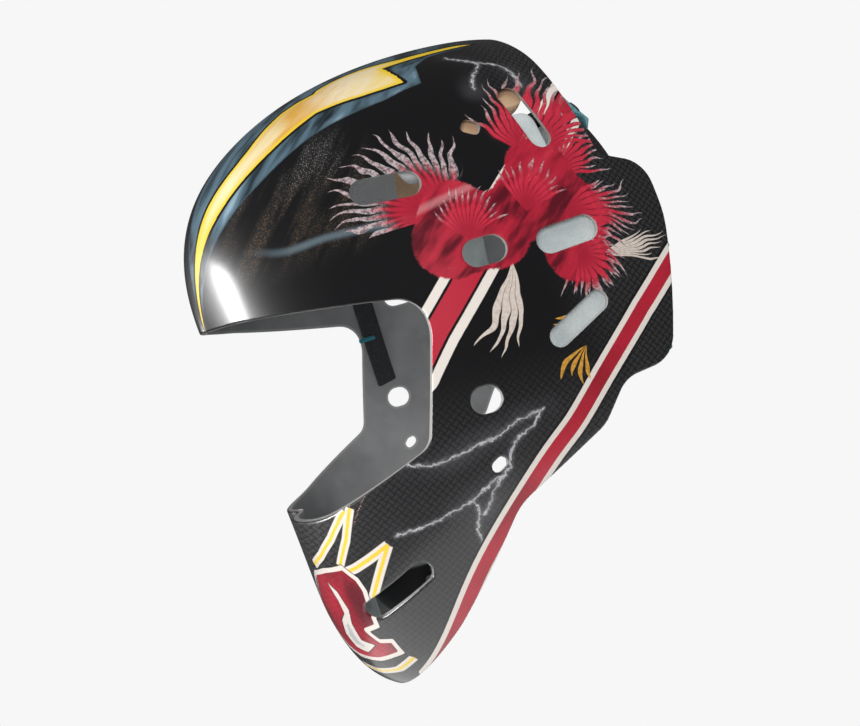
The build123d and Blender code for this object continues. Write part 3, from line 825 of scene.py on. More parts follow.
def fan_group() -> bpy.types.NodeTree:
    """A fan of feathers seen along X.

    A place's angle round the pivot is counted in feathers, and each feather reaches a length of
    its own, so the fan's edge is toothed. Mask is 1 on the fan, Along runs from the pivot to the
    feather's tip, and Vane is 0 at a feather's edges and 1 on its middle.
    """
    graph, given, give = new_group(
        "plume_fan", ["Y", "Z", "Pivot Y", "Pivot Z", "From", "To", "Feathers", "Reach", "Ragged",
                      "Curl"],
        {"Mask": "NodeSocketFloat", "Along": "NodeSocketFloat", "Vane": "NodeSocketFloat",
         "Share": "NodeSocketFloat"})
    y, z = given["Y"] - given["Pivot Y"], given["Z"] - given["Pivot Z"]
    far = (y * y + z * z).math("SQRT")
    wave = graph.noise(graph.vector(given["Y"], given["Z"], 0.0), 0.07, 1.0)
    angle = z.math("ARCTAN2", y) + far * given["Curl"] + (wave - 0.5) * 0.4
    share = (angle - given["From"]) / (given["To"] - given["From"])
    count = share * given["Feathers"]
    vane = 1.0 - ((count.math("FRACT") - 0.5).size() * 2.0)
    number = count.math("FLOOR")
    length = (number * 12.9898).math("SINE").math("MULTIPLY", 43.5).math("FRACT")
    middle = (share - 0.5) * 2.0
    reach = given["Reach"] * (1.0 - given["Ragged"] * length.size() - 0.22 * middle * middle)
    along = far / reach
    pinch = ((along - 0.5) * 2.0).most(0.0)
    sides = share.above(-0.02, 0.02) * share.above(1.02, 0.98)
    give("Mask", sides * (vane - pinch).above(-0.04, 0.07) * along.above(1.0, 0.97))
    give("Along", along)
    give("Vane", vane)
    give("Share", share)
    return graph.tree


def weave_group() -> bpy.types.NodeTree:
    """A woven ground: two sets of ribs that pass over each other, from two distances in mm."""
    graph, given, give = new_group("woven_ground", ["Across", "Along", "Pitch"],
                                   {"Height": "NodeSocketFloat"})
    a, b = given["Across"] / given["Pitch"], given["Along"] / given["Pitch"]
    one = (a * math.pi).math("SINE").size()
    two = (b * math.pi).math("SINE").size()
    parity = ((a.math("FLOOR") + b.math("FLOOR")) * 0.5).math("FRACT").above(0.2, 0.3)
    give("Height", parity * one + (1.0 - parity) * two)
    return graph.tree


class Effects:
    """The node groups that the finishes share."""

    def __init__(self) -> None:
        """Builds each group once."""
        self.fan = fan_group()
        self.weave = weave_group()


EFFECTS = Effects()


@dataclass(frozen=True)
class Finish:
    """The plain numbers of a surface."""

    name: str
    colour: tuple[float, float, float] = (0.5, 0.5, 0.5)
    roughness: float = 0.5
    metallic: float = 0.0
    coat: float = 0.0
    coat_roughness: float = 0.04
    sheen: float = 0.0
    specular: float = 0.5

    def material(self, paint: Callable[[Graph, dict], None] | None = None) -> bpy.types.Material:
        """Makes the material.

        Args:
            paint: writes nodes; it is given the graph and the shader's input sockets.

        Returns:
            The material.
        """
        made = bpy.data.materials.new(self.name)
        made.use_nodes = True
        made.node_tree.nodes.clear()
        graph = Graph(made.node_tree)
        shader = graph.node("BsdfPrincipled")
        out = graph.node("OutputMaterial")
        made.node_tree.links.new(shader.outputs[0], out.inputs[0])
        for key, value in (("Base Color", (*self.colour, 1.0)), ("Roughness", self.roughness),
                           ("Metallic", self.metallic), ("Coat Weight", self.coat),
                           ("Coat Roughness", self.coat_roughness), ("Sheen Weight", self.sheen),
                           ("Specular IOR Level", self.specular)):
            shader.inputs[key].default_value = value
        made.diffuse_color = (*self.colour, 1.0)
        if paint:
            paint(graph, shader.inputs)
        return made


class Tone(Enum):
    """Named colours, linear."""

    BLACK = (0.0065, 0.0065, 0.0075)
    SOFT_BLACK = (0.034, 0.034, 0.036)
    RED = (0.46, 0.012, 0.034)
    DEEP_RED = (0.12, 0.004, 0.012)
    BRIGHT_RED = (0.55, 0.02, 0.05)
    WHITE = (0.76, 0.7, 0.64)
    SILVER = (0.5, 0.5, 0.52)
    GOLD = (0.86, 0.6, 0.045)
    DARK_GOLD = (0.42, 0.2, 0.02)
    STEEL_BLUE = (0.1, 0.17, 0.22)
    PALE_BLUE = (0.3, 0.42, 0.5)


@dataclass(frozen=True)
class Plume:
    """A fan of feathers: pivot, angles in degrees, count, reach in mm, raggedness and curl."""

    pivot: tuple[float, float]
    angles: tuple[float, float]
    feathers: int
    reach: float
    ragged: float = 0.2
    curl: float = 0.0
    silver: float = 0.8


PLUMES = (Plume((21, 24), (-106, -26), 12, 36, 0.24, 0.006, 0.86),
          Plume((21, 27), (-30, 36), 12, 38, 0.22, 0.006, 0.84),
          Plume((23, 46), (-20, 68), 13, 35, 0.28, -0.006, 0.86),
          Plume((20, 54), (14, 140), 17, 48, 0.2, 0.008, 0.86),
          Plume((-27, 42), (34, 178), 17, 46, 0.12, -0.01, 0.62))
CRESTS = (Plume((23, 30), (-70, 40), 10, 27, 0.2, 0.01, 0.9),
          Plume((8, 34), (20, 120), 10, 25, 0.2, 0.01, 0.9),
          Plume((-18, 30), (24, 140), 13, 24, 0.2, 0.012, 0.86),
          Plume((22, 12), (-110, 30), 10, 21, 0.2, 0.012, 0.88))
PALE_PLUMES = (Plume((-5, 17), (-122, -88), 4, 43, 0.12, 0.006, 1.2),
               Plume((31, 9), (-20, 16), 8, 35, 0.26, 0.0, 1.2))
GOLD_PLUMES = (Plume((17, -10), (-168, -108), 4, 20, 0.3, 0.03, 1.2),
               Plume((14, -24), (-186, -108), 4, 20, 0.34, -0.03, 1.2))


@dataclass(frozen=True)
class Spot:
    """What every part of the shell's paint reads: the place, slow noise and fine noise."""

    graph: Graph
    x: Signal
    y: Signal
    z: Signal
    body: Signal
    blur: Signal
    fine: Signal

    @classmethod
    def of(cls, graph: Graph) -> "Spot":
        """Reads them once; both halves of the shell read the same place."""
        x, y, z = graph.place()
        body = graph.vector(x.size(), y, z)
        return cls(graph, x, y, z, body, graph.noise(body, 0.03, 2.0),
                   graph.noise(body, 0.5, 4.0, 0.65))


def lacquer(at: Spot) -> tuple[Signal, Signal]:
    """(colour, share of weave): black with a woven rear, a dusty brow and a painted highlight along
    the ridge.
    """
    graph, x, y, z, body, blur = at.graph, at.x, at.y, at.z, at.body, at.blur
    weave = graph.group(EFFECTS.weave, Across=y * 0.8 + z * 0.6, Along=z * 0.8 - y * 0.6,
                        Pitch=2.3)
    behind = y.above(2.0, 36.0).most(z.above(-14.0, -50.0))
    cloth = weave["Height"].above(0.15, 0.95) * behind
    ground = graph.mix(cloth * 0.8, Tone.BLACK.value, Tone.SOFT_BLACK.value)

    flecks, _ = graph.cells(body, 1.6)
    stretch = graph.noise(graph.vector((y * 0.76 - z * 0.65) * 0.11, (y * 0.65 + z * 0.76) * 0.014,
                                       x * 0.01), 1.0, 3.0, 0.6)
    brow = (y.above(-36.0, -60.0) * y.above(-118.0, -104.0) * z.above(34.0, 50.0)
            * z.above(98.0, 84.0))
    streaked = brow * stretch.above(0.46, 0.68)
    ground = graph.mix(streaked * 0.5, ground, (0.035, 0.033, 0.032))
    dust = streaked * flecks.above(0.36, 0.12)
    metal = graph.mix(z.above(62.0, 84.0), (0.36, 0.2, 0.07), (0.42, 0.4, 0.38))
    ground = graph.mix(dust * 0.75, ground, metal)
    # The sheen is a painted highlight: a pale blue-grey line painted along the raised ridge.
    ridge = graph.field("ridge")
    fade = graph.field("ridge_along").above(0.0, 0.25) * graph.field("ridge_along").above(1.0, 0.85)
    sheen = (ridge + (blur - 0.5) * 3.0).size().above(2.6, 0.1) * fade
    ground = graph.mix(sheen * 0.55, ground, (0.16, 0.22, 0.26))
    return ground, cloth


def bolt_and_band(at: Spot, ground: Signal) -> Signal:
    """The gold bolt in its blue band, over the ground."""
    graph, x, y, z, fine = at.graph, at.x, at.y, at.z, at.fine
    band = graph.field("band") + (fine - 0.5) * 0.5
    shade = graph.noise(graph.vector((y * 0.7 - z * 0.7) * 0.14, (y * 0.7 + z * 0.7) * 0.02,
                                     x * 0.09), 1.0, 3.0)
    blue = graph.mix(shade.above(0.35, 0.6), (0.012, 0.02, 0.026), Tone.STEEL_BLUE.value)
    blue = graph.mix(shade.above(0.6, 0.76) * 0.8, blue, Tone.PALE_BLUE.value)
    blue = graph.mix(band.above(1.6, 0.2) * 0.7, blue, (0.05, 0.08, 0.1))
    paint = graph.mix(band.above(-0.25, 0.25) * y.above(34.0, -12.0), ground, blue)

    bolt = graph.field("bolt")
    along = graph.field("bolt_along")
    brush = graph.noise(graph.vector((y * 0.75 + z * 0.65) * 0.02, (y * 0.65 - z * 0.75) * 0.22,
                                     x * 0.2), 1.0, 2.0)
    gold = graph.ramp(along + (brush - 0.5) * 0.16, [
        (0.0, (0.85, 0.72, 0.25)), (0.25, (0.88, 0.62, 0.08)), (0.45, (0.9, 0.78, 0.42)),
        (0.62, (0.74, 0.4, 0.06)), (0.74, (0.9, 0.76, 0.5)), (0.86, (0.9, 0.62, 0.04)),
        (1.0, (0.8, 0.5, 0.02))])
    gold = graph.mix(bolt.above(3.2, 0.6) * 0.9, gold, (0.9, 0.62, 0.02))
    gold = graph.mix(bolt.above(3.2, 5.4) * y.above(-62.0, -74.0) * 0.6, gold, (0.9, 0.8, 0.5))
    paint = graph.mix(bolt.above(-1.9, -1.4), paint, Tone.BLACK.value)
    paint = graph.mix(bolt.above(-0.2, 0.2), paint, gold)
    return paint


def lightning(at: Spot, paint: Signal) -> Signal:
    """The pale forked streaks in their haze, over the paint."""
    graph, body, blur, fine = at.graph, at.body, at.blur, at.fine
    near = graph.field("streak_near")
    haze = near.above(9.0, 0.0) * blur.above(0.3, 0.8)
    paint = graph.mix(haze * 0.1, paint, (0.4, 0.4, 0.44))
    jag = (graph.noise(body, 0.35, 4.0, 0.7) - 0.5) * 5.0
    for number in range(len(LIVERY.streaks)):
        share = graph.field(f"streak_{number}_along")
        ends = share.above(0.0, 0.02) * share.above(1.0, 0.97) * near.above(4.0, 3.4)
        away = (graph.field(f"streak_{number}") + jag * near.above(4.0, 0.5)).size()
        strength = 0.35 + 0.45 * fine.above(0.35, 0.65)
        paint = graph.mix(away.above(2.0, 0.0) * ends * 0.18, paint, Tone.SILVER.value)
        paint = graph.mix(away.above(0.62, 0.2) * ends * strength, paint, (0.6, 0.6, 0.63))
    return paint


def stripes(at: Spot, paint: Signal) -> Signal:
    """The two red, white and black stripes, over the paint."""
    graph, blur, fine = at.graph, at.blur, at.fine
    upper = graph.field("upper_stripe")
    reach = graph.field("upper_stripe_along")
    clear = graph.field("bolt").above(-3.0, -4.0) * reach.above(0.999, 0.99)
    size = upper.size() + (fine - 0.5) * 0.25
    paint = graph.mix(size.above(9.6, 9.3) * clear, paint, Tone.WHITE.value)
    paint = graph.mix(size.above(5.8, 5.5) * clear, paint, Tone.BLACK.value)
    paint = graph.mix(size.above(4.7, 4.4) * clear, paint, Tone.RED.value)

    lower = graph.field("lower_stripe")
    size = lower.size() + (fine - 0.5) * 0.2
    paint = graph.mix(size.above(6.3, 6.0), paint, Tone.BLACK.value)
    paint = graph.mix(size.above(5.4, 5.1), paint, Tone.WHITE.value)
    paint = graph.mix(size.above(3.1, 2.8), paint,
                      graph.mix(blur.above(0.35, 0.7), Tone.RED.value, (0.3, 0.008, 0.02)))
    return paint


def chin_marks(at: Spot, paint: Signal) -> Signal:
    """The chevrons and the chin's emblem, over the paint."""
    graph, blur = at.graph, at.blur
    near = graph.field("chevron_near").above(5.0, 4.0)
    lines = range(len(LIVERY.chevrons) + 1)
    away = [graph.field(f"chevron_{n}").size() for n in lines]
    ends = [graph.field(f"chevron_{n}_along").above(0.0, 0.01)
            * graph.field(f"chevron_{n}_along").above(1.0, 0.99) * near for n in lines]
    for reach, tone in ((2.7, (0.03, 0.024, 0.022)), (2.1, Tone.WHITE.value),
                        (0.75, Tone.GOLD.value)):
        for one, end in zip(away, ends):
            paint = graph.mix(one.above(reach + 0.25, reach - 0.1) * end, paint, tone)
    emblem = graph.field("emblem")
    window = graph.field("window")
    inlay = graph.mix(blur.above(0.3, 0.7), Tone.RED.value, Tone.DEEP_RED.value)
    inlay = graph.mix(window.above(-0.6, -0.3), inlay, (0.02, 0.005, 0.008))
    inlay = graph.mix(window.above(-0.1, 0.2), inlay, Tone.WHITE.value)
    inlay = graph.mix(window.above(3.0, 3.3), inlay, Tone.SILVER.value)
    paint = graph.mix(emblem.above(-1.6, -1.0) * 0.8, paint, Tone.BLACK.value)
    paint = graph.mix(emblem.above(-0.9, -0.6), paint, Tone.WHITE.value)
    paint = graph.mix(emblem.above(1.5, 1.8), paint, inlay)
    return paint


def paint_shell(graph: Graph, inputs: dict) -> None:
    """The shell's paint, from the lacquer up to the bare edge of its wall.

    Args:
        graph: the material's graph.
        inputs: its shader's inputs.
    """
    at = Spot.of(graph)
    ground, cloth = lacquer(at)
    paint = bolt_and_band(at, ground)
    paint = lightning(at, paint)
    paint = stripes(at, paint)
    paint = feathers(graph, paint, at.y, at.z)
    paint = chin_marks(at, paint)
    paint = graph.mix(graph.field("wall").above(0.2, 0.6), paint, (0.5, 0.48, 0.46))
    graph.feed(inputs["Base Color"], paint)
    graph.feed(inputs["Roughness"], 0.38 + cloth * 0.12)
    relief = cloth * 0.5 + graph.noise(at.body, 0.06, 1.0) * 1.5
    graph.feed(inputs["Normal"], graph.bump(relief, 0.18, 0.0006))


def feathers(graph: Graph, paint: Signal, y: Signal, z: Signal) -> Signal:
    """Lays the plumes over the paint.

    Args:
        graph: the material's graph.
        paint: the colour under them.
        y: millimetres along Y.
        z: millimetres along Z.

    Returns:
        The colour with them.
    """
    hair = graph.noise(graph.vector(y * 0.5 + z * 0.2, z * 0.5 - y * 0.2, 0.0), 1.2, 3.0, 0.7)

    def fan(plume: Plume) -> dict[str, Signal]:
        """One fan's outputs."""
        low, high = (math.radians(a) for a in plume.angles)
        return graph.group(EFFECTS.fan, Y=y, Z=z, **{
            "Pivot Y": float(plume.pivot[0]), "Pivot Z": float(plume.pivot[1]), "From": low,
            "To": high, "Feathers": float(plume.feathers), "Reach": float(plume.reach),
            "Ragged": plume.ragged, "Curl": plume.curl})

    for plume in GOLD_PLUMES:
        one = fan(plume)
        tone = graph.mix(hair.above(0.35, 0.65), Tone.DARK_GOLD.value, (0.7, 0.36, 0.05))
        paint = graph.mix(one["Mask"] * one["Vane"].above(0.3, 0.5), paint, tone)
    for plume in PALE_PLUMES:
        one = fan(plume)
        tone = graph.mix(hair.above(0.4, 0.7) * 0.5, (0.66, 0.58, 0.52), (0.36, 0.28, 0.22))
        tone = graph.mix(one["Vane"].above(0.3, 0.0) * 0.6, tone, (0.2, 0.13, 0.08))
        paint = graph.mix(one["Mask"], paint, tone)
    for number, plume in enumerate((*PLUMES, *CRESTS)):
        if number == len(PLUMES):
            paint = graph.mix(hull(y, z, hair), paint, flesh(graph, y, z, hair))
        one = fan(plume)
        tip = one["Along"].above(plume.silver - 0.2, plume.silver + 0.06)
        tone = graph.mix(one["Along"].above(0.15, 0.6), (0.36, 0.01, 0.03),
                         Tone.BRIGHT_RED.value)
        bar = one["Vane"].above(0.34, 0.02) * one["Along"].above(0.25, 0.5)
        tone = graph.mix(bar * 0.8, tone, (0.03, 0.003, 0.006))
        dark = one["Along"].above(plume.silver - 0.3, plume.silver - 0.1)
        tone = graph.mix(dark * one["Vane"].above(0.9, 0.4) * 0.85, tone, (0.03, 0.01, 0.014))
        tone = graph.mix(tip * 0.85, tone, graph.mix(hair.above(0.4, 0.6), (0.14, 0.14, 0.15),
                                                     (0.5, 0.49, 0.5)))
        tone = graph.mix(hair.above(0.58, 0.72) * one["Along"].above(0.4, 0.8) * 0.4, tone,
                         (0.6, 0.4, 0.4))
        paint = graph.mix(one["Mask"] * (0.75 + 0.25 * hair.above(0.3, 0.5)), paint, tone)
    return paint


def flesh(graph: Graph, y: Signal, z: Signal, hair: Signal) -> Signal:
    """The red of the plumes' middle: soft dark sweeps, fine pale hairs and a thin painted highlight
    line.

    Args:
        graph: the material's graph.
        y: millimetres along Y.
        z: millimetres along Z.
        hair: stretched fine noise.

    Returns:
        The colour.
    """
    sweep = graph.noise(graph.vector((y * 0.8 + z * 0.6) * 0.03, (z * 0.8 - y * 0.6) * 0.11, 0.0),
                        1.0, 3.0, 0.6)
    tone = graph.mix(sweep.above(0.36, 0.56), (0.1, 0.004, 0.012), (0.42, 0.012, 0.034))
    tone = graph.mix(sweep.above(0.55, 0.7) * 0.7, tone, (0.56, 0.03, 0.06))
    # Painted highlight: a thin pale line across the red, where the ridge's painted highlight runs on.
    ridge_highlight_on_red = (y * 0.16 - z + 52.0).size().above(2.6, 0.3) * y.above(-48.0, -38.0) * y.above(4.0, -8.0)
    tone = graph.mix(ridge_highlight_on_red * 0.45, tone, (0.66, 0.3, 0.32))
    return graph.mix(hair.above(0.66, 0.76) * 0.35, tone, (0.6, 0.36, 0.36))


def hull(y: Signal, z: Signal, cloud: Signal) -> Signal:
    """The plumes' solid middle: round patches that run into each other, seen along X."""
    total: Signal | float = 0.0
    for middle_y, middle_z, reach in ((-25, 31, 17), (-8, 30, 17), (-20, 42, 15), (8, 38, 15),
                                      (19, 50, 15), (22, 32, 18), (22, 14, 15)):
        away_y, away_z = (y - middle_y) / reach, (z - middle_z) / reach
        total = (away_y * away_y + away_z * away_z).above(1.3, 0.3) + total
    return (total + (cloud - 0.5) * 0.4).above(0.42, 0.6)


# ---------------------------------------------------------------- the shell's skins
@dataclass
class ShellSkin:
    """The painted outside with its rounded edge and wall, and the bare inside."""

    pitch: float = 1.2
    inner_pitch: float = 2.4
    edge_round: float = 0.9
    ridge_rise: float = 0.9
    ridge_width: float = 9.0

    def gradient(self, yz: Array) -> Array:
        """Unit direction, in the side view, in which the cut distance grows."""
        step = 0.05
        rise = [FORM.cut_distance(yz + s) - FORM.cut_distance(yz - s)
                for s in (np.array([step, 0]), np.array([0, step]))]
        g = np.stack([np.zeros(len(yz)), *rise], 1)
        return g / np.maximum(np.linalg.norm(g, axis=1, keepdims=True), 1e-9)

    def outside(self) -> Skin:
        """The outer face: it drops along a quarter circle to each cut, then turns into the wall.

        Returns:
            The skin with the finish's numbers.
        """
        sheet = Sheet.grid(self.pitch, (0, FORM.last_ring), (0, 360))
        value = FORM.cut_distance(sheet.side_view())
        sheet, value = sheet.kept_in_levels(value, (0.9, 0.3))
        points = FORM.point(sheet.ring, sheet.turn)
        normals = FORM.normal(sheet.ring, sheet.turn)
        fields = LIVERY.fields(sheet.ring, sheet.turn)
        fade = np.clip(np.minimum(fields["ridge_along"], 1 - fields["ridge_along"]) * 4, 0, 1)
        lift = self.ridge_rise * fade * np.exp(-(fields["ridge"] / self.ridge_width) ** 2)
        near = np.flatnonzero(value < 2 * self.edge_round)
        slope = np.zeros_like(points)
        slope[near] = self.gradient(points[near, 1:])
        across = np.sqrt(np.maximum(1 - (normals * slope).sum(1) ** 2, 0.05))
        d = np.minimum(value / across, self.edge_round)
        drop = self.edge_round - np.sqrt(np.maximum(
            self.edge_round ** 2 - (self.edge_round - d) ** 2, 0))
        skin = points + normals * (lift - drop * 0.7)[:, None]
        edges = sheet.border()
        rim = np.unique(edges)
        number = np.full(len(points), -1)
        number[rim] = np.arange(len(rim))
        g, n = slope[rim], normals[rim]
        lean = (n * g).sum(1, keepdims=True)
        way = (n - lean * g) / np.maximum(1 - lean ** 2, 0.05)
        top, foot = len(points) + number, len(points) + len(rim) + number
        walls = np.stack([top[edges[:, 1]], top[edges[:, 0]], foot[edges[:, 0]],
                          foot[edges[:, 1]]], 1)
        full = np.concatenate([skin, skin[rim], points[rim] - way * FORM.wall])
        out = {k: np.concatenate([v, v[rim], v[rim]]) for k, v in fields.items()}
        out["wall"] = np.concatenate([np.zeros(len(points)), np.ones(2 * len(rim))])
        return Skin(full, [sheet.faces, walls], out)

    def inside(self) -> Skin:
        """The bare inner face, its normals towards the head."""
        sheet = Sheet.grid(self.inner_pitch, (0, FORM.last_ring), (0, 360), FORM.wall)
        value = FORM.cut_distance(sheet.side_view(FORM.wall))
        sheet, value = sheet.kept(value)
        points = FORM.point(sheet.ring, sheet.turn, FORM.wall)
        return Skin(points, [sheet.faces[:, ::-1]], {"edge": value})

    def build(self) -> None:
        """Makes both skins and lets them stand for the shell's node."""
        outer = self.outside().to_object("shell_outer", Finish(
            "painted_shell", roughness=0.4, coat=1.0, coat_roughness=0.2).material(paint_shell))
        inner = self.inside().to_object("shell_inner", Finish(
            "bare_composite", roughness=0.42, coat=0.25, coat_roughness=0.25
        ).material(paint_inside))
        for made in (outer, inner):
            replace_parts(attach(made, "mask"), "shell")


def paint_inside(graph: Graph, inputs: dict) -> None:
    """Bare satin composite with faint clouds and scuffs."""
    x, y, z = graph.place()
    body = graph.vector(x, y, z)
    cloud = graph.noise(body, 0.03, 3.0)
    scuff = graph.noise(graph.vector(x, y * 0.2, z * 0.6), 0.3, 4.0, 0.7)
    tone = graph.mix(cloud.above(0.3, 0.7), (0.2, 0.2, 0.205), (0.3, 0.3, 0.305))
    tone = graph.mix(scuff.above(0.6, 0.72) * 0.3, tone, (0.36, 0.36, 0.36))
    tone = graph.mix(graph.field("edge").above(1.6, 0.6) * 0.6, tone, (0.42, 0.42, 0.42))
    graph.feed(inputs["Base Color"], tone)
    graph.feed(inputs["Roughness"], 0.36 + scuff * 0.2)
    graph.feed(inputs["Normal"], graph.bump(graph.noise(body, 0.4, 3.0), 0.12, 0.0005))


# ---------------------------------------------------------------- soft finishes
def paint_foam(first: tuple, second: tuple, grain: float, capped: bool = False
               ) -> Callable[[Graph, dict], None]:
    """A painter for foam: pores with painted shade in them, and slow clouds between two colours.

    Args:
        first: its darker colour.
        second: its lighter colour.
        grain: pores in a millimetre.
        capped: True for a pad whose front is covered in grey cloth.

    Returns:
        The painter.
    """
    def paint(graph: Graph, inputs: dict) -> None:
        """Writes the foam's nodes."""
        x, y, z = graph.place()
        body = graph.vector(x, y, z)
        pores, _ = graph.cells(body, grain)
        cloud = graph.noise(body, 0.06, 3.0)
        tone = graph.mix(cloud.above(0.3, 0.7), first, second)
        if capped:
            tone = graph.mix(y.above(-3.4, -4.0), tone, (0.36, 0.37, 0.38))
        # Painted shade: each pore is darkened towards a darker copy of the foam's colour.
        graph.feed(inputs["Base Color"], graph.mix(pores.above(0.5, 0.1) * 0.25, tone,
                                                   tuple(c * 0.6 for c in first)))
        graph.feed(inputs["Normal"], graph.bump(pores, 0.35, 0.0004))
    return paint


def paint_woven(first: tuple, second: tuple, pitch: float) -> Callable[[Graph, dict], None]:
    """A painter for webbing and elastic, from the mesh's own across and along distances, with painted
    light and shade on the weave.
    """
    def paint(graph: Graph, inputs: dict) -> None:
        """Writes the cloth's nodes."""
        weave = graph.group(EFFECTS.weave, Across=graph.field("across") * 0.7,
                            Along=graph.field("along"), Pitch=pitch)
        # Painted shade: the grooves between the ribs are darker and the rib tops lighter.
        tone = graph.mix(weave["Height"].above(0.1, 0.9), first, second)
        graph.feed(inputs["Base Color"], tone)
        graph.feed(inputs["Normal"], graph.bump(weave["Height"], 0.5, 0.0004))
    return paint


def paint_hooks(graph: Graph, inputs: dict) -> None:
    """Rows of small dark hooks."""
    x, y, z = graph.place()
    dots, _ = graph.cells(graph.vector(x * 0.3, y, z), 1.3)
    graph.feed(inputs["Base Color"], graph.mix(dots.above(0.5, 0.1), (0.022, 0.024, 0.026),
                                               (0.055, 0.058, 0.062)))
    graph.feed(inputs["Normal"], graph.bump(dots, 0.6, 0.0004))


def paint_grain(scale: float, depth: float) -> Callable[[Graph, dict], None]:
    """A painter for moulded or plated surfaces: only a fine relief."""
    def paint(graph: Graph, inputs: dict) -> None:
        """Writes the relief's nodes."""
        body = graph.vector(*graph.place())
        graph.feed(inputs["Normal"], graph.bump(graph.noise(body, scale, 3.0), depth, 0.0003))
    return paint


@dataclass(frozen=True)
class Finishes:
    """Every finish but the shell's, made once and shared."""

    made: dict = field(default_factory=dict)

    def get(self, slot: str) -> bpy.types.Material:
        """The material of a slot."""
        if slot not in self.made:
            plain, paint = {
                "tan_foam": (Finish("tan_foam", (0.5, 0.33, 0.2), 0.9, sheen=0.15),
                             paint_foam((0.42, 0.27, 0.16), (0.55, 0.38, 0.24), 1.2, capped=True)),
                "terry": (Finish("terry", (0.7, 0.71, 0.69), 0.95, sheen=0.35),
                          paint_foam((0.6, 0.62, 0.6), (0.76, 0.77, 0.75), 0.9)),
                "grey_foam": (Finish("grey_foam", (0.5, 0.54, 0.54), 0.9, sheen=0.2),
                              paint_foam((0.42, 0.47, 0.48), (0.56, 0.6, 0.6), 1.2)),
                "hook_tape": (Finish("hook_tape", (0.03, 0.03, 0.032), 0.85), paint_hooks),
                "teal_ribbon": (Finish("teal_ribbon", (0.01, 0.17, 0.22), 0.6, sheen=0.2),
                                paint_grain(3.0, 0.3)),
                "teal_elastic": (Finish("teal_elastic", (0.01, 0.2, 0.25), 0.8, sheen=0.25),
                                 paint_woven((0.006, 0.11, 0.14), (0.02, 0.27, 0.32), 1.1)),
                "black_webbing": (Finish("black_webbing", (0.02, 0.02, 0.02), 0.8, sheen=0.2),
                                  paint_woven((0.01, 0.01, 0.01), (0.045, 0.045, 0.047), 1.1)),
                "black_plastic": (Finish("black_plastic", (0.018, 0.018, 0.02), 0.42),
                                  paint_grain(1.6, 0.25)),
                "snap_metal": (Finish("snap_metal", (0.6, 0.6, 0.6), 0.25, 1.0),
                               paint_grain(0.8, 0.05)),
            }[slot]
            self.made[slot] = plain.material(paint)
        return self.made[slot]


FINISHES = Finishes()


# ---------------------------------------------------------------- liner pads and tapes
@dataclass(frozen=True)
class Lining:
    """A cushion or tape on the inside of the shell, cut to a side-view outline."""

    name: str
    corners: tuple
    foam: float
    slot: str
    both: bool = False
    start: float = FORM.wall + FORM.glue_gap
    rounding: float = 4.5
    pitch: float = 2.0
    stuffed: bool = True
    sides: tuple = ("left", "right")

    def value(self, ring: Array, turn: Array) -> Array:
        """Distance inside the outline in the side view, below zero outside it."""
        yz = FORM.point(ring, turn, self.start)[:, 1:]
        line = FORM.outline(self.corners)
        away = np.linalg.norm(nearest_on(yz, line, closed=True)[0], axis=1)
        return np.where(inside_polygon(yz, line), away, -away)

    def skin(self) -> Skin:
        """The piece as one closed skin.

        Its height over the shell is foam * sqrt(1 - (1 - d / rounding)^2) at d from the outline,
        so that it rolls down to the shell all round.

        Returns:
            The left-hand or whole piece.
        """
        turns = (0, 360) if self.both else (1.0, 179.0)
        sheet = Sheet.grid(self.pitch, (0, FORM.last_ring), turns, self.start)
        value = self.value(sheet.ring, sheet.turn)
        near = value > -6 * self.pitch
        keep = near[sheet.faces].all(1)
        sheet = Sheet(sheet.ring, sheet.turn, sheet.faces[keep])
        sheet, value = sheet.kept_in_levels(
            value, [share * self.rounding for share in (0.6, 0.28, 0.08)])
        part = 1 - np.clip(value / self.rounding, 0, 1)
        height = self.foam * np.sqrt(1 - part ** 2)
        dimple = np.clip(value / (2.2 * self.rounding), 0, 1)
        height = height * (0.9 + 0.1 * dimple)
        top = FORM.point(sheet.ring, sheet.turn, self.start + height)
        base = FORM.point(sheet.ring, sheet.turn, self.start)
        under = np.arange(len(top)) + len(top)
        under[value <= 0] = np.flatnonzero(value <= 0)
        return Skin(np.concatenate([top, base]), [sheet.faces[:, ::-1], under[sheet.faces]])

    def build(self) -> None:
        """Makes the piece, or the left one and its copy."""
        whole = self.skin()
        flip = mirrored(whole)
        jobs = [("", whole)] if self.both else [
            (side, whole if side == "left" else flip) for side in self.sides]
        for side, skin in jobs:
            ending = f"_{side}" if side and len(self.sides) > 1 else ""
            made = skin.to_object(f"{self.name}{ending}_cover", FINISHES.get(self.slot))
            drop_loose(made)
            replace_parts(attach(made, "mask"), self.name + ending)


def drop_loose(made: bpy.types.Object) -> None:
    """Takes away the vertices that no face uses."""
    mesh = made.data
    used = np.zeros(len(mesh.vertices), bool)
    corners = np.zeros(len(mesh.loops), np.int32)
    mesh.loops.foreach_get("vertex_index", corners)
    used[corners] = True
    number = np.cumsum(used) - 1
    points = np.zeros(len(mesh.vertices) * 3, np.float32)
    mesh.vertices.foreach_get("co", points)
    faces = [[int(number[v]) for v in p.vertices] for p in mesh.polygons]
    material = mesh.materials[0]
    fresh = bpy.data.meshes.new(mesh.name)
    fresh.from_pydata(points.reshape(-1, 3)[used].tolist(), [], faces)
    fresh.polygons.foreach_set("use_smooth", np.ones(len(faces), bool))
    fresh.materials.append(material)
    made.data = fresh


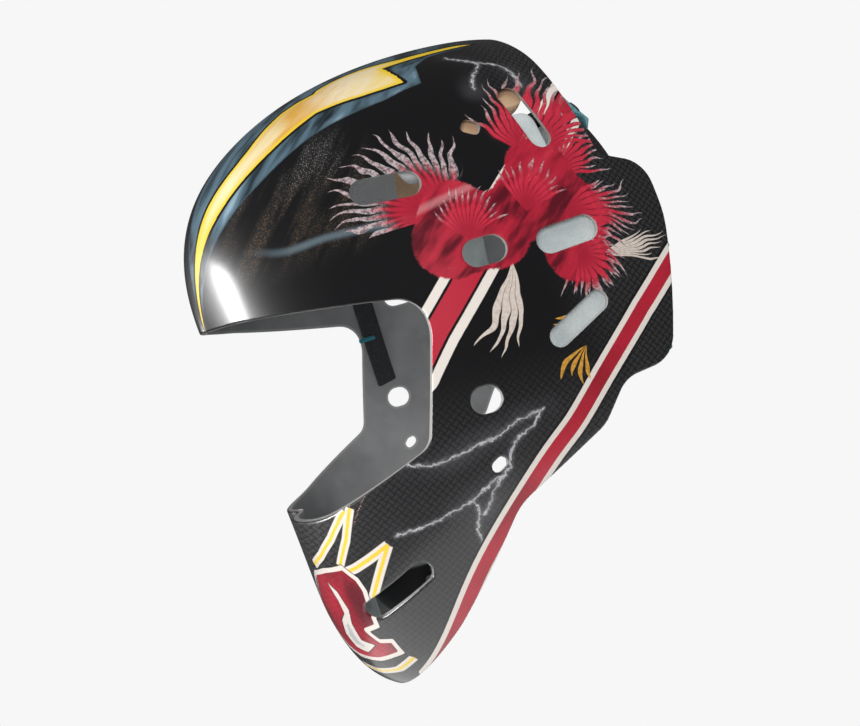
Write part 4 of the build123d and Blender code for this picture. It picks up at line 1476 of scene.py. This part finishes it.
BROW_FOAM = 8.0
PAD_FOAM = 9.0
LININGS = (
    Lining("forehead_pad", ((-1.1, 0.30, 6), (-0.56, 0.30, 10), (-0.50, 0.66, 10),
                            (-0.86, 0.93, 6)), BROW_FOAM, "grey_foam", both=True),
    Lining("sweatband", ((-1.1, 0.325, 3), (-0.60, 0.325, 6), (-0.60, 0.45, 6),
                         (-1.1, 0.45, 3)), 3.0, "terry", both=True,
           start=FORM.wall + BROW_FOAM + 2 * FORM.glue_gap, rounding=2.5),
    Lining("crown_pad", ((-0.266, 0.465, 6), (0.07, 0.535, 6), (0.125, 0.62, 5),
                         (0.235, 0.62, 6), (0.235, 1.2, 6), (-0.266, 1.2, 6)), PAD_FOAM,
           "tan_foam", both=True),
    Lining("chin_pad", ((-0.94, -0.745, 6), (-0.672, -0.745, 6), (-0.672, -0.888, 6),
                        (-0.94, -0.994, 6)), PAD_FOAM, "grey_foam", both=True),
    Lining("side_pad", ((0.023, -0.20, 8), (0.023, 0.48, 8), (0.10, 0.496, 4),
                        (0.14, 0.589, 5), (0.225, 0.589, 5), (0.225, 0.403, 8),
                        (0.34, 0.34, 8), (0.34, 0.05, 10), (0.205, -0.186, 8)), PAD_FOAM,
           "grey_foam"),
    Lining("jaw_pad", ((-0.516, -0.658, 4), (-0.437, -0.658, 4), (-0.484, -0.73, 6),
                       (-0.535, -0.795, 6), (-0.586, -0.826, 4), (-0.609, -0.758, 4)),
           PAD_FOAM, "grey_foam"),
    Lining("hook_tape", ((-0.332, 0.388, 1), (-0.242, 0.388, 1), (-0.227, -0.137, 1),
                         (-0.316, -0.149, 1)), 1.2, "hook_tape", rounding=0.6, pitch=1.2,
           stuffed=False),
    Lining("tape_pull_tab", ((-0.346, 0.0423, 0.3), (-0.268, 0.0423, 0.3),
                             (-0.268, 0.0237, 0.3), (-0.346, 0.0237, 0.3)), 0.8,
           "teal_ribbon", start=4.6, rounding=0.4, pitch=0.8, stuffed=False,
           sides=("right",)),
)


# ---------------------------------------------------------------- back plate's form and straps
@dataclass(frozen=True)
class Plate:
    """The back plate's form: an arc round an upright axis, bent again upright."""

    around: float = 76.0
    upright: float = 110.0
    rear: float = 90.0
    middle: float = 22.0
    top: float = 90.0
    bottom: float = -44.0
    half: float = 61.0
    corner: float = 14.0
    foam_start: float = 2.8
    foam: float = 9.0

    def face(self, x: Array, z: Array, depth: Array | float = 0.0) -> tuple[Array, Array]:
        """(points, outward normals) of the face depth in front of the rear face, at x and z."""
        rise = np.asarray(z, float) - self.middle
        upright = self.upright - np.asarray(depth, float)
        around = self.around - self.upright + np.sqrt(upright ** 2 - rise ** 2)
        back = np.sqrt(around ** 2 - np.asarray(x, float) ** 2)
        point = np.stack(np.broadcast_arrays(x, self.rear - self.around + back, z), -1)
        lean = np.sqrt(upright ** 2 - rise ** 2) / upright
        normal = np.stack(np.broadcast_arrays(x / around * lean, back / around * lean,
                                              rise / upright), -1)
        return point, normal

    def outline(self, inset: float) -> Array:
        """The plate's outline from behind, smaller by inset."""
        top, low, half = self.top - inset, self.bottom + inset, self.half - inset
        right = [(0.72 * half, low), (half, 0.1 * top), (0.92 * half, 0.7 * top),
                 (0.55 * half, top)]
        corners = [(x, z, self.corner) for x, z in right]
        corners += [(-x, z, self.corner) for x, z in right[::-1]]
        return rounded(corners, 1, 1, 1)


PLATE = Plate()


@dataclass(frozen=True)
class Band:
    """A flat band of cloth along a path."""

    width: float
    thick: float
    steps: int = 12

    def skin(self, path: Array, facing: Array) -> Skin:
        """Sweeps a flat section with round edges along a path.

        Args:
            path: the middle line's points.
            facing: the band's upward direction at each.

        Returns:
            The closed skin with across and along in millimetres.
        """
        way = np.gradient(path, axis=0)
        way /= np.linalg.norm(way, axis=1, keepdims=True)
        up = facing - (facing * way).sum(1, keepdims=True) * way
        up /= np.linalg.norm(up, axis=1, keepdims=True)
        side = np.cross(way, up)
        flat = (self.width - self.thick) / 2
        rows = np.linspace(-1, 1, self.steps)
        arc = np.linspace(-math.pi / 2, math.pi / 2, 5)
        half = self.thick / 2
        section = np.concatenate([
            np.stack([rows * flat, np.full(self.steps, -half)], 1),
            np.stack([flat + half * np.cos(arc), half * np.sin(arc)], 1)[1:-1],
            np.stack([-rows * flat, np.full(self.steps, half)], 1),
            np.stack([-flat - half * np.cos(arc), -half * np.sin(arc)], 1)[1:-1]])
        points = (path[:, None] + section[None, :, :1] * side[:, None]
                  + section[None, :, 1:] * up[:, None])
        n, m = points.shape[:2]
        ends = [np.arange(m)[None, ::-1], (np.arange(m) + (n - 1) * m)[None]]
        length = np.concatenate([[0], np.cumsum(np.linalg.norm(np.diff(path, axis=0), axis=1))])
        fields = {"across": np.tile(section[:, 0], n), "along": np.repeat(length, m)}
        return Skin(points.reshape(-1, 3), [wrapped(n, m), *ends], fields)


def wrapped(rows: int, around: int) -> Array:
    """The quads that join rows of points, each row a closed ring of that many."""
    i, j = np.meshgrid(np.arange(rows - 1), np.arange(around), indexing="ij")
    a, b = (i * around + j).ravel(), (i * around + (j + 1) % around).ravel()
    return np.stack([a, b, b + around, a + around], 1)


def bezier(controls: Sequence[Array], steps: int) -> Array:
    """Points of the cubic with four control points."""
    t = np.linspace(0, 1, steps)[:, None]
    shares = ((1 - t) ** 3, 3 * t * (1 - t) ** 2, 3 * t * t * (1 - t), t ** 3)
    return sum(s * np.asarray(c, float) for s, c in zip(shares, controls))


def mirrored(skin: Skin) -> Skin:
    """The right-hand copy of a left-hand skin."""
    return Skin(skin.points * [-1, 1, 1], [f[:, ::-1] for f in skin.faces], skin.fields)


@dataclass(frozen=True)
class Harness:
    """Six elastic straps from the shell's inside wall to the back of the plate."""

    width: float = 20.0
    thick: float = 1.6
    gap: float = 1.1
    tail: float = 8.0
    swing: float = 0.16
    lap_steps: int = 6
    bend_steps: int = 34
    straps: tuple = (("crown_strap", (0.315, 0.62), (41.0, 76.0)),
                     ("side_strap", (0.43, 0.112), (48.0, 14.0)),
                     ("neck_strap", (0.345, -0.17), (36.0, -26.0)))

    def wall(self, y: float, z: float) -> tuple[Array, Array]:
        """(point, outward normal) of the inside wall at a side-view place, by Newton steps."""
        at = np.array([9.0, math.radians(80)])
        for _ in range(40):
            base = FORM.point(at[0], at[1], FORM.wall)[1:]
            slope = np.stack([(FORM.point(*(at + s), FORM.wall)[1:] - base) / 1e-4
                              for s in (np.array([1e-4, 0]), np.array([0, 1e-4]))], 1)
            step = np.linalg.solve(slope, np.array([y, z]) - base)
            at = at + np.clip(step, -0.5, 0.5)
        return FORM.point(at[0], at[1], FORM.wall), FORM.normal(at[0], at[1], FORM.wall)

    def path(self, anchor: tuple, end: tuple) -> tuple[Array, Array]:
        """(middle line, facing) of a strap: a lap, a free bend and a lap."""
        lift = self.gap + self.thick / 2
        wall, outward = self.wall(*FORM.spot(*anchor))
        wall = wall - outward * lift
        back = np.array([0.0, 1.0, 0.0])
        along = back - outward * (back @ outward)
        along /= np.linalg.norm(along)
        point, normal = PLATE.face(np.array(end[0]), np.array(end[1]))
        plate = point + normal * lift
        out = np.array([1.0, 0, 0]) - normal * normal[0]
        out /= np.linalg.norm(out)
        start, stop = wall + along * self.tail, plate + out * self.tail
        reach = np.linalg.norm(stop - start) * self.swing
        bend = bezier((start, start + along * reach, stop + out * reach, stop),
                      self.bend_steps)
        laps = np.linspace(1, 0, self.lap_steps + 1)[:-1, None] * 2 * self.tail
        path = np.concatenate([start - along * laps, bend, stop - out * laps[::-1]])
        t = np.concatenate([np.zeros(len(laps)), np.linspace(0, 1, len(bend)),
                            np.ones(len(laps))])[:, None]
        return path, outward * (1 - t) + normal * t

    def build(self) -> None:
        """Makes each strap and its copy, each curving from the mask to the plate."""
        band = Band(self.width, self.thick)
        for name, anchor, end in self.straps:
            path, facing = self.path(anchor, end)
            skin = band.skin(path, facing)
            ends = path[self.lap_steps + 1], path[-self.lap_steps - 2]
            for side, one, turn in (("left", skin, 1), ("right", mirrored(skin), -1)):
                made = one.to_object(f"{name}_{side}_band", FINISHES.get("teal_elastic"))
                start, stop = (tuple(p * [turn, 1, 1] * MM) for p in ends)
                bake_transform(made)
                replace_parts(made, f"{name}_{side}")


# ---------------------------------------------------------------- chin cup and back plate
@dataclass(frozen=True)
class ChinCup:
    """The cup's foam bowl and its two webbing straps; the moulded cup is the model's own."""

    half_width: float = 36.0
    half_length: float = 29.0
    deep: float = 33.0
    wall: float = 2.6
    foam: float = 4.0
    middle: tuple[float, float] = (-60.0, -100.0)
    snap: tuple[float, float] = (-58.0, -87.0)
    snap_x: float = 65.4
    strap_width: float = 16.0
    strap_thick: float = 1.6
    lap: float = 13.0
    around: int = 72
    steps: int = 22
    rim_steps: int = 5
    rim_rise: float = 1.2
    strap_y: float = -59.0
    strap_off: float = 1.9    # cup's side to the middle of the strap
    snap_lap: float = 14.0
    snap_below: float = 6.0   # snap to the start of the strap's straight lap

    def liner(self) -> Skin:
        """The foam bowl: half an ellipsoid outside and inside, joined by a round rim."""
        start = self.wall + FORM.glue_gap
        turn = np.linspace(0, 2 * math.pi, self.around + 1)[:-1]
        leans = np.linspace(0, 1, self.steps)
        outer = [(start, lean, 0.0) for lean in leans]
        rim = [(start + self.foam * (1 - math.cos(a)) / 2, 1.0, self.rim_rise * math.sin(a))
               for a in np.linspace(0, math.pi, self.rim_steps + 2)[1:-1]]
        inner = [(start + self.foam, lean, 0.0) for lean in leans[::-1]]
        rows = []
        for depth, lean, lift in (*outer, *rim, *inner):
            size = self.deep - depth
            edge = math.asin(min(self.foam / size, 1))
            angle = math.pi / 2 - lean * (math.pi / 2 - edge)
            wide = math.cos(angle)
            height = self.middle[1] - size * math.sin(angle) + lift
            rows.append(np.stack([
                (self.half_width - depth) * wide * np.cos(turn),
                self.middle[0] + (self.half_length - depth) * wide * np.sin(turn),
                np.full(len(turn), height)], 1))
        return Skin(np.concatenate(rows), [wrapped(len(rows), len(turn))])

    def strap(self) -> Skin:
        """The left strap: up from the cup's side to its snap, in a plane across the mask."""
        low = self.middle[1] - self.lap
        x_low = self.half_width * math.sqrt(1 - (self.lap / self.deep) ** 2) + self.strap_off
        end = self.snap[1] - self.snap_below
        bend = bezier(((x_low, low), (x_low + 5, low + 16), (self.snap_x, end - 13),
                       (self.snap_x, end)), 24)
        rise = np.linspace(end, end + self.snap_lap, 7)[1:]
        lap = np.stack([np.full(len(rise), self.snap_x), rise], 1)
        flat = np.concatenate([bend, lap])
        path = np.stack([flat[:, 0], np.full(len(flat), self.strap_y), flat[:, 1]], 1)
        facing = np.tile([1.0, 0.0, -0.3], (len(path), 1))
        return Band(self.strap_width, self.strap_thick).skin(path, facing)

    def build(self) -> None:
        """Makes the liner and the straps."""
        made = self.liner().to_object("chin_cup_liner_cover", FINISHES.get("tan_foam"))
        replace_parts(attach(made, "chin_cup"), "chin_cup_liner")
        left = self.strap()
        for side, skin in (("left", left), ("right", mirrored(left))):
            made = skin.to_object(f"chin_strap_{side}_band", FINISHES.get("black_webbing"))
            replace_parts(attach(made, "chin_cup"), f"chin_strap_{side}")


@dataclass(frozen=True)
class BackPad:
    """The back plate's foam pad, its rim rolled down to the plate."""

    inset: float = 8.0
    rounding: float = 6.0
    rings: int = 26

    def build(self) -> None:
        """Makes the pad as rings that shrink from the outline to its middle, front and back."""
        line = PLATE.outline(self.inset)
        centre = np.array([0.0, PLATE.middle])
        fine = np.linspace(0, len(line), 160, endpoint=False)
        low = fine.astype(int)
        ring = line[low] + (fine - low)[:, None] * (line[(low + 1) % len(line)] - line[low])
        size = np.linalg.norm(ring - centre, axis=1).mean()
        shares = np.linspace(0, 1, self.rings) ** 1.6
        rows = []
        for share in shares:
            at = centre + (ring - centre) * (1 - share)
            part = 1 - min(share * size / self.rounding, 1)
            height = PLATE.foam * math.sqrt(1 - part ** 2)
            rows.append(PLATE.face(at[:, 0], at[:, 1], PLATE.foam_start + height)[0])
        for share in shares[::-1][:-1]:
            at = centre + (ring - centre) * (1 - share)
            rows.insert(0, PLATE.face(at[:, 0], at[:, 1], PLATE.foam_start)[0])
        skin = Skin(np.concatenate(rows), [wrapped(len(rows), len(ring))])
        made = skin.to_object("back_plate_pad_cover", FINISHES.get("grey_foam"))
        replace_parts(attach(made, "back_plate"), "back_plate_pad")


def finish_hard_nodes() -> None:
    """Gives the moulded and metal nodes their finishes; their meshes stay as they are."""
    slots = {s["node"]: s["material_slot"] for s in frame["record"]["subparts"]}
    for name, made in frame["nodes"].items():
        if slots[name] in ("black_plastic", "snap_metal") and not made.hide_render:
            made.data.materials.clear()
            made.data.materials.append(FINISHES.get(slots[name]))


# ---------------------------------------------------------------- the room
@dataclass(frozen=True)
class Lamp:
    """A soft rectangle of light aimed at a place."""

    name: str
    place: tuple[float, float, float]
    size: tuple[float, float]
    watts: float
    shines: bool = True
    aim: tuple[float, float, float] = (0.0, -0.02, 0.0)
    colour: tuple[float, float, float] = (1.0, 1.0, 1.0)


@dataclass(frozen=True)
class Studio:
    """Camera, lamps, floor and surroundings."""

    floor_radius: float = 760.0
    floor_height: float = -620.0
    lamps: tuple = (
        Lamp("brow_softbox", (-0.34, -1.02, 0.12), (0.2, 0.5), 8.0),
        Lamp("crown_strip", (0.5, 0.3, 1.1), (0.9, 0.3), 5.0, shines=False),
        Lamp("side_fill", (1.3, -0.5, 0.35), (0.9, 0.9), 13.0, shines=False),
        Lamp("front_fill", (0.3, -1.3, -0.1), (0.9, 0.9), 6.0, shines=False),
        Lamp("back_fill", (-0.7, 0.9, 0.8), (0.8, 0.8), 8.0, shines=False))

    def camera(self) -> None:
        """Sets the camera: beside the mask, a little in front and level with it."""
        data = bpy.data.cameras.new("main_view")
        data.lens, data.sensor_width = 42.70, 36.0
        made = bpy.data.objects.new("main_view", data)
        right = Vector((0.21077, 0.93285, -0.29216))
        up = Vector((0.02587, 0.29345, 0.95563))
        back = right.cross(up)
        turn = Matrix((right, up, back)).transposed().to_4x4()
        made.matrix_world = Matrix.Translation((0.4836, -0.1310, 0.0028)) @ turn
        data.clip_start = 0.01
        bpy.context.scene.collection.objects.link(made)
        bpy.context.scene.camera = made

    def light(self, lamp: Lamp) -> None:
        """Adds one lamp."""
        data = bpy.data.lights.new(lamp.name, "AREA")
        data.shape = "RECTANGLE"
        data.size, data.size_y = lamp.size
        data.energy, data.color = lamp.watts, lamp.colour
        made = bpy.data.objects.new(lamp.name, data)
        made.location = lamp.place
        aim = Vector(lamp.aim) - Vector(lamp.place)
        made.rotation_euler = aim.to_track_quat("-Z", "Y").to_euler()
        made.visible_glossy = lamp.shines
        made.visible_camera = False
        bpy.context.scene.collection.objects.link(made)

    def world(self) -> None:
        """A pale surround that the lens sees brighter than the mask does."""
        made = bpy.data.worlds.new("pale_room")
        made.use_nodes = True
        tree = made.node_tree
        tree.nodes.clear()
        path = tree.nodes.new("ShaderNodeLightPath")
        strength = {"lit": 0.26, "mirrored": 0.05, "seen": 0.93}
        shades = {}
        for key, value in strength.items():
            shades[key] = tree.nodes.new("ShaderNodeBackground")
            shades[key].inputs[0].default_value = (1, 1, 1, 1)
            shades[key].inputs[1].default_value = value
        last = shades["lit"]
        for ray, key in (("Is Glossy Ray", "mirrored"), ("Is Camera Ray", "seen")):
            mix = tree.nodes.new("ShaderNodeMixShader")
            tree.links.new(path.outputs[ray], mix.inputs[0])
            tree.links.new(last.outputs[0], mix.inputs[1])
            tree.links.new(shades[key].outputs[0], mix.inputs[2])
            last = mix
        out = tree.nodes.new("ShaderNodeOutputWorld")
        tree.links.new(last.outputs[0], out.inputs[0])
        bpy.context.scene.world = made
        bpy.context.scene.view_settings.view_transform = "Standard"

    def floor(self) -> None:
        """A pale round floor below the mask."""
        around = 96
        turn = np.linspace(0, 2 * math.pi, around + 1)[:-1]
        radii = np.linspace(0.0, self.floor_radius, 9)[1:]
        points = np.concatenate([np.stack([r * np.cos(turn), r * np.sin(turn),
                                           np.full(around, self.floor_height)], 1)
                                 for r in radii])
        quads = wrapped(len(radii), around)[:, ::-1]
        made = Skin(points, [quads, np.arange(around)[None]]).to_object(
            "floor", Finish("pale_floor", (0.8, 0.8, 0.8), 0.8).material())

    def build(self) -> None:
        """Sets the room up."""
        self.camera()
        self.world()
        self.floor()
        for lamp in self.lamps:
            self.light(lamp)


def main() -> None:
    """Builds every piece, then the room."""
    logging.basicConfig(level=logging.INFO, format="%(message)s")
    ShellSkin().build()
    log.info("shell: painted outside and bare inside")
    for lining in LININGS:
        lining.build()
        log.info("lining: %s", lining.name)
    Harness().build()
    log.info("harness: six elastic straps")
    ChinCup().build()
    log.info("chin cup: foam bowl and straps")
    BackPad().build()
    log.info("back plate: foam pad")
    finish_hard_nodes()
    log.info("moulded and metal parts: finishes")
    Studio().build()


if __name__ == "__main__":
    main()
